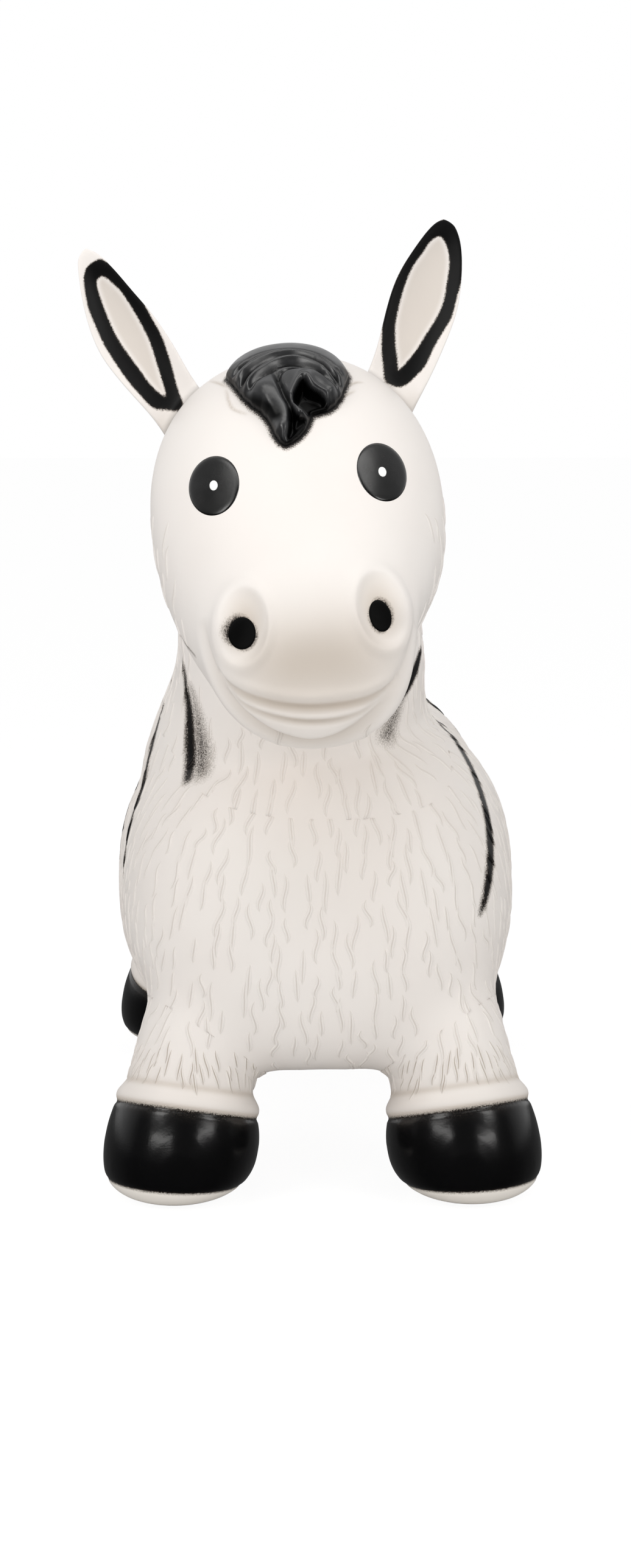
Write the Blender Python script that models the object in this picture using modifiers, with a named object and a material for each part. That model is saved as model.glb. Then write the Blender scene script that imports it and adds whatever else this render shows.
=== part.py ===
"""Inflatable bouncing ride-on zebra, moulded in soft PVC, built at its real size.

Metres and degrees, +Z up. The animal faces -Y and its left side is +X. The origin is on the floor
under the middle of its whole length, from the muzzle to the tail.

The real toy is one hollow skin with a valve. Here the skin is divided where it flexes, at the neck,
the hips and the ears, and where its colour changes. Every flex zone is cut by a ball around the point
that it bends about, so that the pieces turn past each other with a constant gap.
"""

import math

import bmesh
import bpy
from mathutils import Matrix, Vector
from mathutils.bvhtree import BVHTree

# Skin, gaps and fineness
WALL = 0.0036
FLEX_GAP = 0.0008
SEAT_GAP = 0.0003
PRINT_PROUD = 0.0013
PRINT_SINK = 0.0020
GLINT_LIFT = 0.0005
GLINT_THICKNESS = 0.0006
CUT_OVERRUN = 0.06
FORM_VOXEL = 0.0055
HAIR_VOXEL = 0.0034
FORM_SIDES = 36
BALL_SIDES = 28
FORM_SMOOTHING_COUNT = 10
SMOOTHING_FACTOR = 0.5
ROW_STEP_COUNT = 3
SKIN_KEPT_SHARE = 0.055
AIR_SMOOTHING_COUNT = 2
AIR_KEPT_SHARE = 0.03
HAIR_SMOOTHING_COUNT = 3
HAIR_KEPT_SHARE = 0.16
MERGE_DISTANCE = 0.000005
SPIN_MERGE_DISTANCE = 0.00001
SHARP_ANGLE = 40.0

# Torso, lofted from the chest to the rump
TORSO_LENGTH = 0.448
TORSO_WIDTH = 0.249
TORSO_DEPTH = 0.230
BELLY_HEIGHT = 0.0615
TORSO_X = -0.0025
CHEST_Y = -0.176
TORSO_SQUARENESS = 2.35
# Share of the length behind the chest, of half the width, and of the depth at the underside, at the
# widest level and at the back
TORSO_SHARES = (
    (0.000, 0.30, 0.34, 0.47, 0.62),
    (0.018, 0.56, 0.19, 0.45, 0.76),
    (0.060, 0.77, 0.07, 0.445, 0.89),
    (0.135, 0.89, 0.02, 0.445, 0.97),
    (0.225, 0.95, 0.005, 0.45, 1.00),
    (0.335, 0.985, 0.00, 0.455, 0.97),
    (0.450, 1.00, 0.00, 0.46, 0.905),
    (0.560, 1.00, 0.00, 0.46, 0.885),
    (0.670, 0.98, 0.005, 0.47, 0.91),
    (0.780, 0.94, 0.03, 0.48, 0.945),
    (0.870, 0.85, 0.07, 0.49, 0.935),
    (0.940, 0.71, 0.14, 0.50, 0.86),
    (0.982, 0.52, 0.25, 0.515, 0.75),
    (1.000, 0.28, 0.37, 0.525, 0.65),
)

# Neck, lofted along a line that leans forward from the shoulders into the head
NECK_WIDTH = 0.138
NECK_DEPTH = 0.140
NECK_LENGTH = 0.200
NECK_LEAN = 28.0
NECK_ROLL = -1.0
NECK_MIDDLE_X = -0.0155
NECK_MIDDLE_Y = -0.099
NECK_MIDDLE_Z = 0.314
NECK_SQUARENESS = 2.2
# Share of the length from the middle, of half the width and of half the depth
NECK_SHARES = (
    (-0.50, 1.36, 1.22),
    (-0.36, 1.30, 1.19),
    (-0.22, 1.18, 1.12),
    (-0.08, 1.05, 1.04),
    (0.05, 1.00, 1.00),
    (0.20, 1.00, 1.00),
    (0.35, 0.98, 1.00),
    (0.50, 0.85, 0.85),
)

# Head, lofted from the poll to the muzzle and then leaned and turned with all that it carries
HEAD_LENGTH = 0.205
HEAD_WIDTH = 0.165
HEAD_DEPTH = 0.210
HEAD_CHIN_Z = 0.284
HEAD_MUZZLE_Y = -0.285
HEAD_SQUARENESS = 2.15
HEAD_ROLL = 4.5
HEAD_TURN = 1.5
HEAD_SHIFT = -0.0056
HEAD_PIVOT_Y = -0.076
HEAD_PIVOT_Z = 0.256
# Share of the length behind the muzzle, of half the width, and of the depth at the underside, at the
# widest level and at the top
HEAD_SHARES = (
    (0.000, 0.26, 0.13, 0.22, 0.32),
    (0.030, 0.47, 0.055, 0.23, 0.39),
    (0.080, 0.62, 0.01, 0.25, 0.47),
    (0.160, 0.71, 0.00, 0.28, 0.56),
    (0.240, 0.77, 0.00, 0.35, 0.67),
    (0.330, 0.86, 0.01, 0.44, 0.79),
    (0.440, 0.95, 0.025, 0.52, 0.90),
    (0.570, 1.00, 0.055, 0.565, 0.975),
    (0.720, 0.98, 0.12, 0.60, 1.00),
    (0.850, 0.86, 0.25, 0.615, 0.965),
    (0.940, 0.66, 0.40, 0.635, 0.90),
    (1.000, 0.38, 0.53, 0.65, 0.82),
)

# Legs, lofted from the sole up into the body
LEG_LENGTH = 0.104
HOOF_WIDTH = 0.093
HOOF_DEPTH = 0.098
FRONT_SOLE_X = 0.0878
FRONT_SOLE_Y = -0.136
FRONT_LEAN_BACK = 8.0
FRONT_LEAN_IN = 8.0
FRONT_TILT = 15.0
REAR_SOLE_X = 0.097
REAR_SOLE_Y = 0.241
REAR_LEAN_BACK = -16.0
REAR_LEAN_IN = 8.0
REAR_TILT = -15.0
# Share of the length above the sole, of half the width, of half the depth, and of the tilt that the
# section has
LEG_SHARES = (
    (-0.013, 0.42, 0.42, 0.00),
    (0.012, 0.68, 0.68, 0.05),
    (0.070, 0.90, 0.90, 0.20),
    (0.160, 0.985, 0.985, 0.45),
    (0.260, 1.00, 1.00, 0.70),
    (0.370, 0.98, 0.98, 0.90),
    (0.480, 0.92, 0.93, 1.00),
    (0.560, 0.87, 0.90, 1.00),
    (0.660, 0.80, 0.88, 1.00),
    (0.780, 0.775, 0.90, 1.00),
    (0.900, 0.775, 0.92, 1.00),
    (1.020, 0.73, 0.86, 1.00),
    (1.120, 0.60, 0.72, 1.00),
    (1.200, 0.36, 0.46, 1.00),
)
LEG_WAIST_SHARE = 0.93
CORONET_SHARE = 0.49
SOLE_EDGE_HEIGHT = 0.0085
SOLE_EDGE_SHARE = 0.35

# Balls that the flex zones are cut by
LEG_BALL_MARGIN = 0.0105
LEG_BALL_SHARE = 0.90
LEG_OPENING = 60.0
LEG_ZONE_SHARE = 1.6
NECK_BALL_MARGIN = 0.0105
NECK_OPENING = 86.0
EAR_BALL_MARGIN = 0.0045
EAR_BALL_SHARE = 0.13
EAR_WAIST_SHARE = 0.84

# Ears, which the rider holds
EAR_LENGTH = 0.115
EAR_WIDTH = 0.039
EAR_THICKNESS = 0.0085
EAR_BULGE = 0.0065
EAR_ROOT_X_SHARE = 0.669
EAR_ROOT_Y_SHARE = 0.776
EAR_ROOT_Z_SHARE = 0.819
EAR_SPREAD = 25.0
EAR_LEAN_BACK = 4.0
EAR_SWAY = 2.5
EAR_TURN = 0.0
EAR_SIDES = 16
EAR_EDGE_POWER = 0.7
# Share of the length above the root, of half the width, of half the thickness and of the bulge
EAR_SHARES = (
    (0.00, 0.70, 1.20, 0.10),
    (0.10, 0.82, 1.20, 0.35),
    (0.22, 0.84, 1.10, 0.70),
    (0.38, 0.96, 1.00, 1.00),
    (0.54, 1.00, 0.95, 1.05),
    (0.70, 0.90, 0.90, 0.95),
    (0.83, 0.68, 0.82, 0.65),
    (0.93, 0.42, 0.68, 0.30),
    (1.00, 0.14, 0.40, 0.05),
)

# Print and moulding on the face, in the head's own upright frame
EYE_WIDTH = 0.0264
EYE_HEIGHT = 0.0318
EYE_X_SHARE = 0.5515
EYE_Z_SHARE = 0.681
EYE_TILT = 15.0
EYE_RINGS = 3
EYE_SIDES = 20
GLINT_WIDTH = 0.0045
GLINT_HEIGHT = 0.0055
GLINT_RINGS = 1
GLINT_SIDES = 10
NOSTRIL_WIDTH = 0.0130
NOSTRIL_HEIGHT = 0.0168
NOSTRIL_X_SHARE = 0.430
NOSTRIL_Z_SHARE = 0.331
NOSTRIL_TILT = 12.0
NOSTRIL_SKEW = 0.0012
NOSTRIL_RINGS = 3
NOSTRIL_SIDES = 16
NOSTRIL_MOUND = 0.036
NOSTRIL_MOUND_Y_SHARE = 0.107

# Forelock: a dome of hair with locks that end on the forehead
FORELOCK_WIDTH_SHARE = 0.376
FORELOCK_LENGTH_SHARE = 0.429
FORELOCK_HEIGHT_SHARE = 0.210
FORELOCK_Y_SHARE = 0.512
FORELOCK_Z_SHARE = 0.876
LOCK_THICKNESS = 0.022
# Each lock: start, middle and end as shares of the dome's width, length and height, then thickness
LOCK_SHARES = (
    ((-0.10, 0.42, 0.42), (-0.40, 0.05, 0.42), (-0.36, -0.46, -0.02), 1.00),
    ((0.05, 0.42, 0.44), (0.42, 0.00, 0.40), (0.30, -0.47, 0.02), 1.05),
    ((0.00, 0.45, 0.46), (0.02, -0.10, 0.58), (-0.06, -0.62, -0.34), 0.90),
    ((0.02, 0.40, 0.46), (0.22, -0.14, 0.50), (0.06, -0.58, 0.06), 0.85),
)
LOCK_END_SHARE = 0.42
LOCK_START_SHARE = 0.18
LOCK_STOP_SHARE = 0.92
LOCK_POWER = 0.6
LOCK_STEPS = 10
LOCK_SIDES = 14

# Mane: a crest from behind the forelock down the nape, in the head's upright frame
MANE_WIDTH = 0.030
MANE_PROUD = 0.015
MANE_SINK = 0.007
MANE_HUB_Y_SHARE = 0.824
MANE_HUB_Z_SHARE = 0.362
MANE_START = 0.0
MANE_END = 99.0
MANE_STEPS = 14
MANE_SIDES = 12
MANE_WAVE_SHARE = 0.16
MANE_WAVES = 5.0
MANE_START_SHARE = 0.12
MANE_STOP_SHARE = 0.92
MANE_POWER = 0.5

# Tail: moulded against the rump
TAIL_WIDTH = 0.036
TAIL_PROUD = 0.016
TAIL_SINK = 0.008
TAIL_HUB_Y_SHARE = 0.93
TAIL_TOP_SHARE = 0.7674
TAIL_END_SHARE = 0.2457
TAIL_SIDES = 12
TAIL_STEP_COUNT = 2
# Share of the length down the tail, and of half its width
TAIL_SHARES = (
    (0.00, 0.42),
    (0.12, 0.56),
    (0.35, 0.60),
    (0.55, 0.72),
    (0.75, 1.00),
    (0.90, 0.80),
    (1.00, 0.30),
)

# Valve in the belly
VALVE_Y = 0.060
VALVE_PLUG_WIDTH = 0.0090
VALVE_PLUG_HEAD = 0.0134
VALVE_HEAD_DEPTH = 0.0022
VALVE_LENGTH = 0.0130
VALVE_TUBE_WALL = 0.0022
VALVE_SEAT_WIDTH = 0.0220
VALVE_FLANGE_WIDTH = 0.0300
VALVE_FLANGE_THICKNESS = 0.0020
VALVE_FLANGE_RISE = 0.0016
VALVE_SIDES = 20

SKIN_COLOUR = (0.86, 0.83, 0.78)
BLACK_COLOUR = (0.012, 0.012, 0.013)
SOLE_COLOUR = (0.80, 0.77, 0.72)
WHITE_COLOUR = (0.95, 0.95, 0.95)
VALVE_COLOUR = (0.70, 0.69, 0.66)

ROUND = 2.0
UNIT_RADIUS = 0.5
UP = Vector((0.0, 0.0, 1.0))
REARWARD = Vector((0.0, 1.0, 0.0))
SIDE = Vector((1.0, 0.0, 0.0))
HANDS = (("left", 1.0), ("right", -1.0))


def clear_scene():
    for item in list(bpy.data.objects):
        bpy.data.objects.remove(item, do_unlink=True)


def collection(name):
    made = bpy.data.collections.new(name)
    bpy.context.scene.collection.children.link(made)
    return made


def material(name, colour, roughness):
    made = bpy.data.materials.new(name)
    made.use_nodes = True
    shader = made.node_tree.nodes["Principled BSDF"]
    shader.inputs["Base Color"].default_value = (*colour, 1.0)
    shader.inputs["Roughness"].default_value = roughness
    shader.inputs["Metallic"].default_value = 0.0
    made.diffuse_color = (*colour, 1.0)
    return made


def guide(name, mesh, cutters):
    """A form or cutter that other pieces are made from."""
    made = bpy.data.objects.new(name, mesh)
    made.hide_render = True
    made.display_type = "WIRE"
    cutters.objects.link(made)
    return made


def evaluated_mesh(item, name):
    view = bpy.context.evaluated_depsgraph_get()
    view.update()
    made = bpy.data.meshes.new_from_object(item.evaluated_get(view))
    made.name = name
    return made


def tidy_mesh(mesh):
    """Merge what a cut leaves closer than can be told apart, and make all faces triangles."""
    work = bmesh.new()
    work.from_mesh(mesh)
    bmesh.ops.remove_doubles(work, verts=work.verts[:], dist=MERGE_DISTANCE)
    bmesh.ops.dissolve_degenerate(work, edges=work.edges[:], dist=MERGE_DISTANCE)
    bmesh.ops.triangulate(work, faces=work.faces[:])
    loose = [vert for vert in work.verts if not vert.link_faces]
    bmesh.ops.delete(work, geom=loose, context="VERTS")
    work.to_mesh(mesh)
    work.free()


def combine(item, other, operation):
    """Cut, keep or join one mesh object by another, and keep the result as its mesh."""
    step = item.modifiers.new("combine", "BOOLEAN")
    step.operation = operation
    step.object = other
    step.solver = "EXACT"
    made = evaluated_mesh(item, item.data.name)
    item.modifiers.clear()
    item.data = made
    tidy_mesh(item.data)


def eased_rows(rows, steps):
    """A smooth curve through the rows of a table, with more rows between them."""
    made = []
    last = len(rows) - 1
    for index in range(last):
        before = rows[max(index - 1, 0)]
        start = rows[index]
        end = rows[index + 1]
        after = rows[min(index + 2, last)]
        for step in range(steps):
            t = step / steps
            made.append(tuple(eased_value(a, b, c, d, t) for a, b, c, d in zip(before, start, end, after)))
    made.append(tuple(rows[last]))
    return made


def eased_value(before, start, end, after, t):
    rise = (end - before) / 2.0
    fall = (after - start) / 2.0
    return (
        (2.0 * t**3 - 3.0 * t**2 + 1.0) * start
        + (t**3 - 2.0 * t**2 + t) * rise
        + (3.0 * t**2 - 2.0 * t**3) * end
        + (t**3 - t**2) * fall
    )


def swelling(start, stop, t, power):
    """How full a lock is at a share of its length, as a part of half a wave."""
    return max(math.sin(math.pi * (start + (stop - start) * t)), 0.0) ** power


def signed_power(value, power):
    return math.copysign(abs(value) ** power, value)


def section(centre, side, above, below, squareness, sides=FORM_SIDES):
    """A closed outline between an oval and a box, with its own height above and below the centre."""
    points = []
    power = 2.0 / squareness
    for index in range(sides):
        angle = math.tau * index / sides
        across = signed_power(math.cos(angle), power)
        along = signed_power(math.sin(angle), power)
        points.append(centre + side * across + (above if along > 0.0 else below) * abs(along))
    return points


def lofted_mesh(name, outlines):
    """A closed skin over a row of outlines of equal counts, with a point at each end."""
    work = bmesh.new()
    rings = [[work.verts.new(point) for point in outline] for outline in outlines]
    for first, second in zip(rings, rings[1:]):
        count = len(first)
        for index in range(count):
            follow = (index + 1) % count
            work.faces.new((first[index], first[follow], second[follow], second[index]))
    for ring in (rings[0], rings[-1]):
        middle = sum((vert.co for vert in ring), Vector()) / len(ring)
        tip = work.verts.new(middle)
        for index in range(len(ring)):
            work.faces.new((ring[index], ring[(index + 1) % len(ring)], tip))
    bmesh.ops.recalc_face_normals(work, faces=work.faces[:])
    made = bpy.data.meshes.new(name)
    work.to_mesh(made)
    work.free()
    return made


def standing_rows(shares, middle_x, start_y, length, width, base_z, depth):
    """Upright sections along Y, from a table of shares."""
    rows = []
    for along, across, low, middle, high in eased_rows(shares, ROW_STEP_COUNT):
        centre = Vector((middle_x, start_y + along * length, base_z + middle * depth))
        above = UP * (high - middle) * depth
        below = -UP * (middle - low) * depth
        rows.append((centre, SIDE * across * width / 2.0, above, below))
    return rows


def torso_form():
    rows = standing_rows(
        TORSO_SHARES, TORSO_X, CHEST_Y, TORSO_LENGTH, TORSO_WIDTH, BELLY_HEIGHT, TORSO_DEPTH
    )
    return lofted_mesh("torso_form", [section(*row, TORSO_SQUARENESS) for row in rows])


def neck_axis():
    lean = math.radians(NECK_LEAN)
    roll = math.radians(NECK_ROLL)
    return Vector((-math.sin(roll), -math.sin(lean) * math.cos(roll), math.cos(lean) * math.cos(roll)))


def neck_middle():
    return Vector((NECK_MIDDLE_X, NECK_MIDDLE_Y, NECK_MIDDLE_Z))


def neck_form():
    axis = neck_axis()
    back = SIDE.cross(axis).normalized()
    across = axis.cross(-back).normalized()
    outlines = []
    for along, wide, deep in eased_rows(NECK_SHARES, ROW_STEP_COUNT):
        centre = neck_middle() + axis * along * NECK_LENGTH
        half_depth = back * deep * NECK_DEPTH / 2.0
        half_width = across * wide * NECK_WIDTH / 2.0
        outlines.append(section(centre, half_width, half_depth, -half_depth, NECK_SQUARENESS))
    return lofted_mesh("neck_form", outlines)


def head_form():
    rows = standing_rows(
        HEAD_SHARES, 0.0, HEAD_MUZZLE_Y, HEAD_LENGTH, HEAD_WIDTH, HEAD_CHIN_Z, HEAD_DEPTH
    )
    return lofted_mesh("head_form", [section(*row, HEAD_SQUARENESS) for row in rows])


def on_head(across, along, up):
    """A place in the head's upright frame, from shares of its half width, length and depth."""
    y = HEAD_MUZZLE_Y + along * HEAD_LENGTH
    return Vector((across * HEAD_WIDTH / 2.0, y, HEAD_CHIN_Z + up * HEAD_DEPTH))


def head_pose():
    """How the head, with all that it carries, leans to one side and turns."""
    pivot = Vector((0.0, HEAD_PIVOT_Y, HEAD_PIVOT_Z))
    lean = Matrix.Rotation(math.radians(HEAD_ROLL), 4, "Y").inverted()
    turn = Matrix.Rotation(math.radians(HEAD_TURN), 4, "Z")
    return Matrix.Translation(pivot + SIDE * HEAD_SHIFT) @ turn @ lean @ Matrix.Translation(-pivot)


def leg_axis(side, lean_back, lean_in):
    back = math.radians(lean_back)
    inward = math.radians(lean_in)
    return Vector((-side * math.tan(inward), math.tan(back), 1.0)).normalized()


def leg_frame(side, tilt, lean_in, share):
    """The up, side and rear directions of a leg's section that takes a share of the tilt."""
    up = leg_axis(side, tilt * share, lean_in * share)
    across = (SIDE - up * SIDE.dot(up)).normalized()
    return up, across, up.cross(across)


def leg_form(side, sole, lean_back, lean_in, tilt):
    axis = leg_axis(side, lean_back, lean_in)
    outlines = []
    for height, wide, deep, tilt_share in eased_rows(LEG_SHARES, ROW_STEP_COUNT):
        up, across, rear = leg_frame(side, tilt, lean_in, tilt_share)
        centre = sole + axis * height * LEG_LENGTH
        half_width = across * wide * HOOF_WIDTH / 2.0
        half_depth = rear * deep * HOOF_DEPTH / 2.0
        outlines.append(section(centre, half_width, half_depth, -half_depth, ROUND))
    return lofted_mesh("leg_form", outlines)


def leg_places():
    """Name, side, sole centre, leans and coronet tilt of each leg."""
    places = []
    for end, x, y, back, inward, tilt in (
        ("front", FRONT_SOLE_X, FRONT_SOLE_Y, FRONT_LEAN_BACK, FRONT_LEAN_IN, FRONT_TILT),
        ("rear", REAR_SOLE_X, REAR_SOLE_Y, REAR_LEAN_BACK, REAR_LEAN_IN, REAR_TILT),
    ):
        for hand, side in HANDS:
            places.append((f"{end}_{hand}", side, Vector((side * x, y, 0.0)), back, inward, tilt))
    return places


def circle(centre, frame, radius, sides):
    points = []
    for index in range(sides):
        angle = math.tau * index / sides
        points.append(centre + frame @ Vector((radius * math.cos(angle), radius * math.sin(angle), 0.0)))
    return points


def ball_mesh(name, centre, radius):
    work = bmesh.new()
    place = Matrix.Translation(centre)
    bmesh.ops.create_uvsphere(
        work, u_segments=BALL_SIDES, v_segments=BALL_SIDES // 2, radius=radius, matrix=place
    )
    made = bpy.data.meshes.new(name)
    work.to_mesh(made)
    work.free()
    return made


def keyhole(name, centre, axis, radius, opening, width, reach, cutters):
    """A ball with a cone that widens along the axis: all that turns about the ball's centre."""
    angle = math.radians(opening)
    profile = [(0.0, reach), (width, reach), (width, width / math.tan(angle))]
    rows = BALL_SIDES // 2
    for row in range(rows):
        around = angle + (math.pi - angle) * row / rows
        profile.append((radius * math.sin(around), radius * math.cos(around)))
    profile.append((0.0, -radius))
    place = Matrix.Translation(centre) @ axis.to_track_quat("Z", "Y").to_matrix().to_4x4()
    return turned(name, profile, place, BALL_SIDES, cutters, False)


def half_space(name, at, normal, cutters):
    """A block that fills the side of a plane that the normal points to."""
    work = bmesh.new()
    size = TORSO_LENGTH + CUT_OVERRUN
    bmesh.ops.create_cube(work, size=size)
    place = Matrix.Translation(at) @ normal.to_track_quat("Z", "Y").to_matrix().to_4x4()
    bmesh.ops.transform(work, matrix=place @ Matrix.Translation(UP * size / 2.0), verts=work.verts[:])
    made = bpy.data.meshes.new(name)
    work.to_mesh(made)
    work.free()
    return guide(name, made, cutters)


def joined_mesh(name, meshes):
    work = bmesh.new()
    for mesh in meshes:
        work.from_mesh(mesh)
    made = bpy.data.meshes.new(name)
    work.to_mesh(made)
    work.free()
    return made


def fused_form(name, meshes, voxel, smoothing, kept_share, cutters, inset=0.0):
    """One smooth closed form over several that run into each other, or the space inside its wall."""
    form = guide(name, joined_mesh(name, meshes), cutters)
    fuse = form.modifiers.new("fuse", "REMESH")
    fuse.mode = "VOXEL"
    fuse.voxel_size = voxel
    ease = form.modifiers.new("ease", "SMOOTH")
    ease.factor = SMOOTHING_FACTOR
    ease.iterations = smoothing
    if inset:
        wall = form.modifiers.new("wall", "DISPLACE")
        wall.mid_level = 0.0
        wall.strength = -inset
        again = form.modifiers.new("again", "REMESH")
        again.mode = "VOXEL"
        again.voxel_size = voxel
        even = form.modifiers.new("even", "SMOOTH")
        even.factor = SMOOTHING_FACTOR
        even.iterations = AIR_SMOOTHING_COUNT
    thin = form.modifiers.new("thin", "DECIMATE")
    thin.ratio = kept_share
    mesh = evaluated_mesh(form, name)
    form.modifiers.clear()
    form.data = mesh
    tidy_mesh(form.data)
    return form


def nostril_at(side):
    at = on_head(side * NOSTRIL_X_SHARE, NOSTRIL_MOUND_Y_SHARE, NOSTRIL_Z_SHARE)
    return at + UP * side * NOSTRIL_SKEW


def nostril_mounds():
    """The raised rounds of the muzzle that the nostrils are on."""
    mounds = []
    radius = NOSTRIL_MOUND / 2.0
    for name, side in HANDS:
        mounds.append(ball_mesh("nostril_mound", nostril_at(side), radius))
    return mounds


def skin_meshes():
    """The forms that run into each other in the outer skin."""
    head = [head_form(), *nostril_mounds()]
    pose = head_pose()
    for mesh in head:
        mesh.transform(pose)
    legs = [leg_form(*place) for name, *place in leg_places()]
    return [torso_form(), neck_form(), *head, *legs]


def skin_form(cutters):
    """The whole outer skin in one piece."""
    return fused_form(
        "skin_form", skin_meshes(), FORM_VOXEL, FORM_SMOOTHING_COUNT, SKIN_KEPT_SHARE, cutters
    )


def surface_of(form):
    """A tree over a form's faces, to find places on it with rays."""
    work = bmesh.new()
    work.from_mesh(form.data)
    tree = BVHTree.FromBMesh(work)
    work.free()
    return tree


def skin_shell(form, cutters):
    """The skin with its wall, hollow inside."""
    air = fused_form(
        "air_form", skin_meshes(), FORM_VOXEL, FORM_SMOOTHING_COUNT, AIR_KEPT_SHARE, cutters, WALL
    )
    shell = guide("skin_shell", form.data.copy(), cutters)
    combine(shell, air, "DIFFERENCE")
    return shell


def grown_form(form, gap, cutters):
    """The skin's outside with a gap around it, for what lies on the skin."""
    grown = guide("grown_skin", form.data.copy(), cutters)
    for vert in grown.data.vertices:
        vert.co += vert.normal * gap
    return grown


def neck_zone(gap, cutters):
    radius = (NECK_WIDTH + NECK_DEPTH) / 4.0 + NECK_BALL_MARGIN + gap
    width = HEAD_LENGTH + HEAD_WIDTH
    reach = HEAD_DEPTH + HEAD_LENGTH
    return keyhole("neck_zone", neck_middle(), neck_axis(), radius, NECK_OPENING, width, reach, cutters)


def hip_of(side, sole, lean_back, lean_in, tilt):
    return sole + leg_axis(side, lean_back, lean_in) * LEG_BALL_SHARE * LEG_LENGTH


def leg_zone(place, gap, cutters):
    side, sole, lean_back, lean_in, tilt = place
    radius = LEG_WAIST_SHARE * HOOF_DEPTH / 2.0 + LEG_BALL_MARGIN + gap
    axis = -leg_axis(side, lean_back, lean_in)
    width = HOOF_WIDTH / 2.0 * LEG_ZONE_SHARE
    reach = LEG_LENGTH + CUT_OVERRUN
    return keyhole("leg_zone", hip_of(*place), axis, radius, LEG_OPENING, width, reach, cutters)


def finish(item, name, look, parts):
    """Make a mesh object a finished piece under its own name."""
    tidy_mesh(item.data)
    item.name = name
    item.data.name = name
    item.hide_render = False
    item.display_type = "TEXTURED"
    for owner in list(item.users_collection):
        owner.objects.unlink(item)
    parts.objects.link(item)
    item.data.materials.clear()
    item.data.materials.append(look)
    item.data.shade_smooth()
    item.data.set_sharp_from_angle(angle=math.radians(SHARP_ANGLE))
    return item


def build_leg(name, place, shell, looks, parts, cutters):
    """The leg, its hoof and its sole, cut from the skin below the hip."""
    side, sole_point, lean_back, lean_in, tilt = place
    limb = guide("limb", shell.data.copy(), cutters)
    combine(limb, leg_zone(place, 0.0, cutters), "INTERSECT")
    axis = leg_axis(side, lean_back, lean_in)
    coronet = sole_point + axis * CORONET_SHARE * LEG_LENGTH
    coronet_up = leg_frame(side, tilt, lean_in, 1.0)[0]
    edge = sole_point + UP * SOLE_EDGE_HEIGHT
    edge_up = leg_frame(side, tilt, lean_in, SOLE_EDGE_SHARE)[0]
    lift = SEAT_GAP / 2.0

    leg = guide("leg", limb.data.copy(), cutters)
    combine(leg, half_space("above", coronet + coronet_up * lift, coronet_up, cutters), "INTERSECT")
    finish(leg, f"leg_{name}", looks["skin"], parts)

    hoof = guide("hoof", limb.data.copy(), cutters)
    combine(hoof, half_space("below", coronet - coronet_up * lift, -coronet_up, cutters), "INTERSECT")
    combine(hoof, half_space("above", edge + edge_up * lift, edge_up, cutters), "INTERSECT")
    finish(hoof, f"hoof_{name}", looks["black"], parts)

    sole = guide("sole", limb.data.copy(), cutters)
    combine(sole, half_space("below", edge - edge_up * lift, -edge_up, cutters), "INTERSECT")
    combine(sole, half_space("floor", sole_point, UP, cutters), "INTERSECT")
    finish(sole, f"sole_{name}", looks["sole"], parts)


def ear_axis(side):
    spread = math.radians(EAR_SPREAD - side * EAR_SWAY)
    back = math.radians(EAR_LEAN_BACK)
    return Vector((side * math.tan(spread), math.tan(back), 1.0)).normalized()


def ear_root(side):
    return on_head(side * EAR_ROOT_X_SHARE, EAR_ROOT_Y_SHARE, EAR_ROOT_Z_SHARE)


def ear_form(side):
    """The leaf of an ear: a plate that is hollow in front and round at the back."""
    axis = ear_axis(side)
    turn = Matrix.Rotation(math.radians(EAR_TURN * side), 3, axis)
    across = turn @ (SIDE - axis * SIDE.dot(axis)).normalized()
    rear = axis.cross(across)
    root = ear_root(side)
    outlines = []
    for height, wide, thick, bulge in EAR_SHARES:
        centre = root + axis * height * EAR_LENGTH
        points = []
        for index in range(EAR_SIDES):
            angle = math.tau * index / EAR_SIDES
            out = math.cos(angle)
            depth = signed_power(math.sin(angle), EAR_EDGE_POWER) * thick * EAR_THICKNESS / 2.0
            depth += (1.0 - out * out) * bulge * EAR_BULGE
            points.append(centre + across * out * wide * EAR_WIDTH / 2.0 + rear * depth)
        outlines.append(points)
    return lofted_mesh("ear_form", outlines)


def ear_base(side):
    return head_pose() @ (ear_root(side) + ear_axis(side) * EAR_BALL_SHARE * EAR_LENGTH)


def ear_zone(side, gap, cutters):
    radius = EAR_WIDTH / 2.0 * EAR_WAIST_SHARE + EAR_BALL_MARGIN + gap
    return guide("ear_zone", ball_mesh("ear_zone", ear_base(side), radius), cutters)


def build_ear(name, side, shell, looks, parts, cutters):
    """An ear with the round of skin that it stands on."""
    ear = guide("ear", shell.data.copy(), cutters)
    combine(ear, ear_zone(side, 0.0, cutters), "INTERSECT")
    leaf = ear_form(side)
    leaf.transform(head_pose())
    combine(ear, guide("ear_leaf", leaf, cutters), "UNION")
    finish(ear, f"ear_{name}", looks["skin"], parts)


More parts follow.
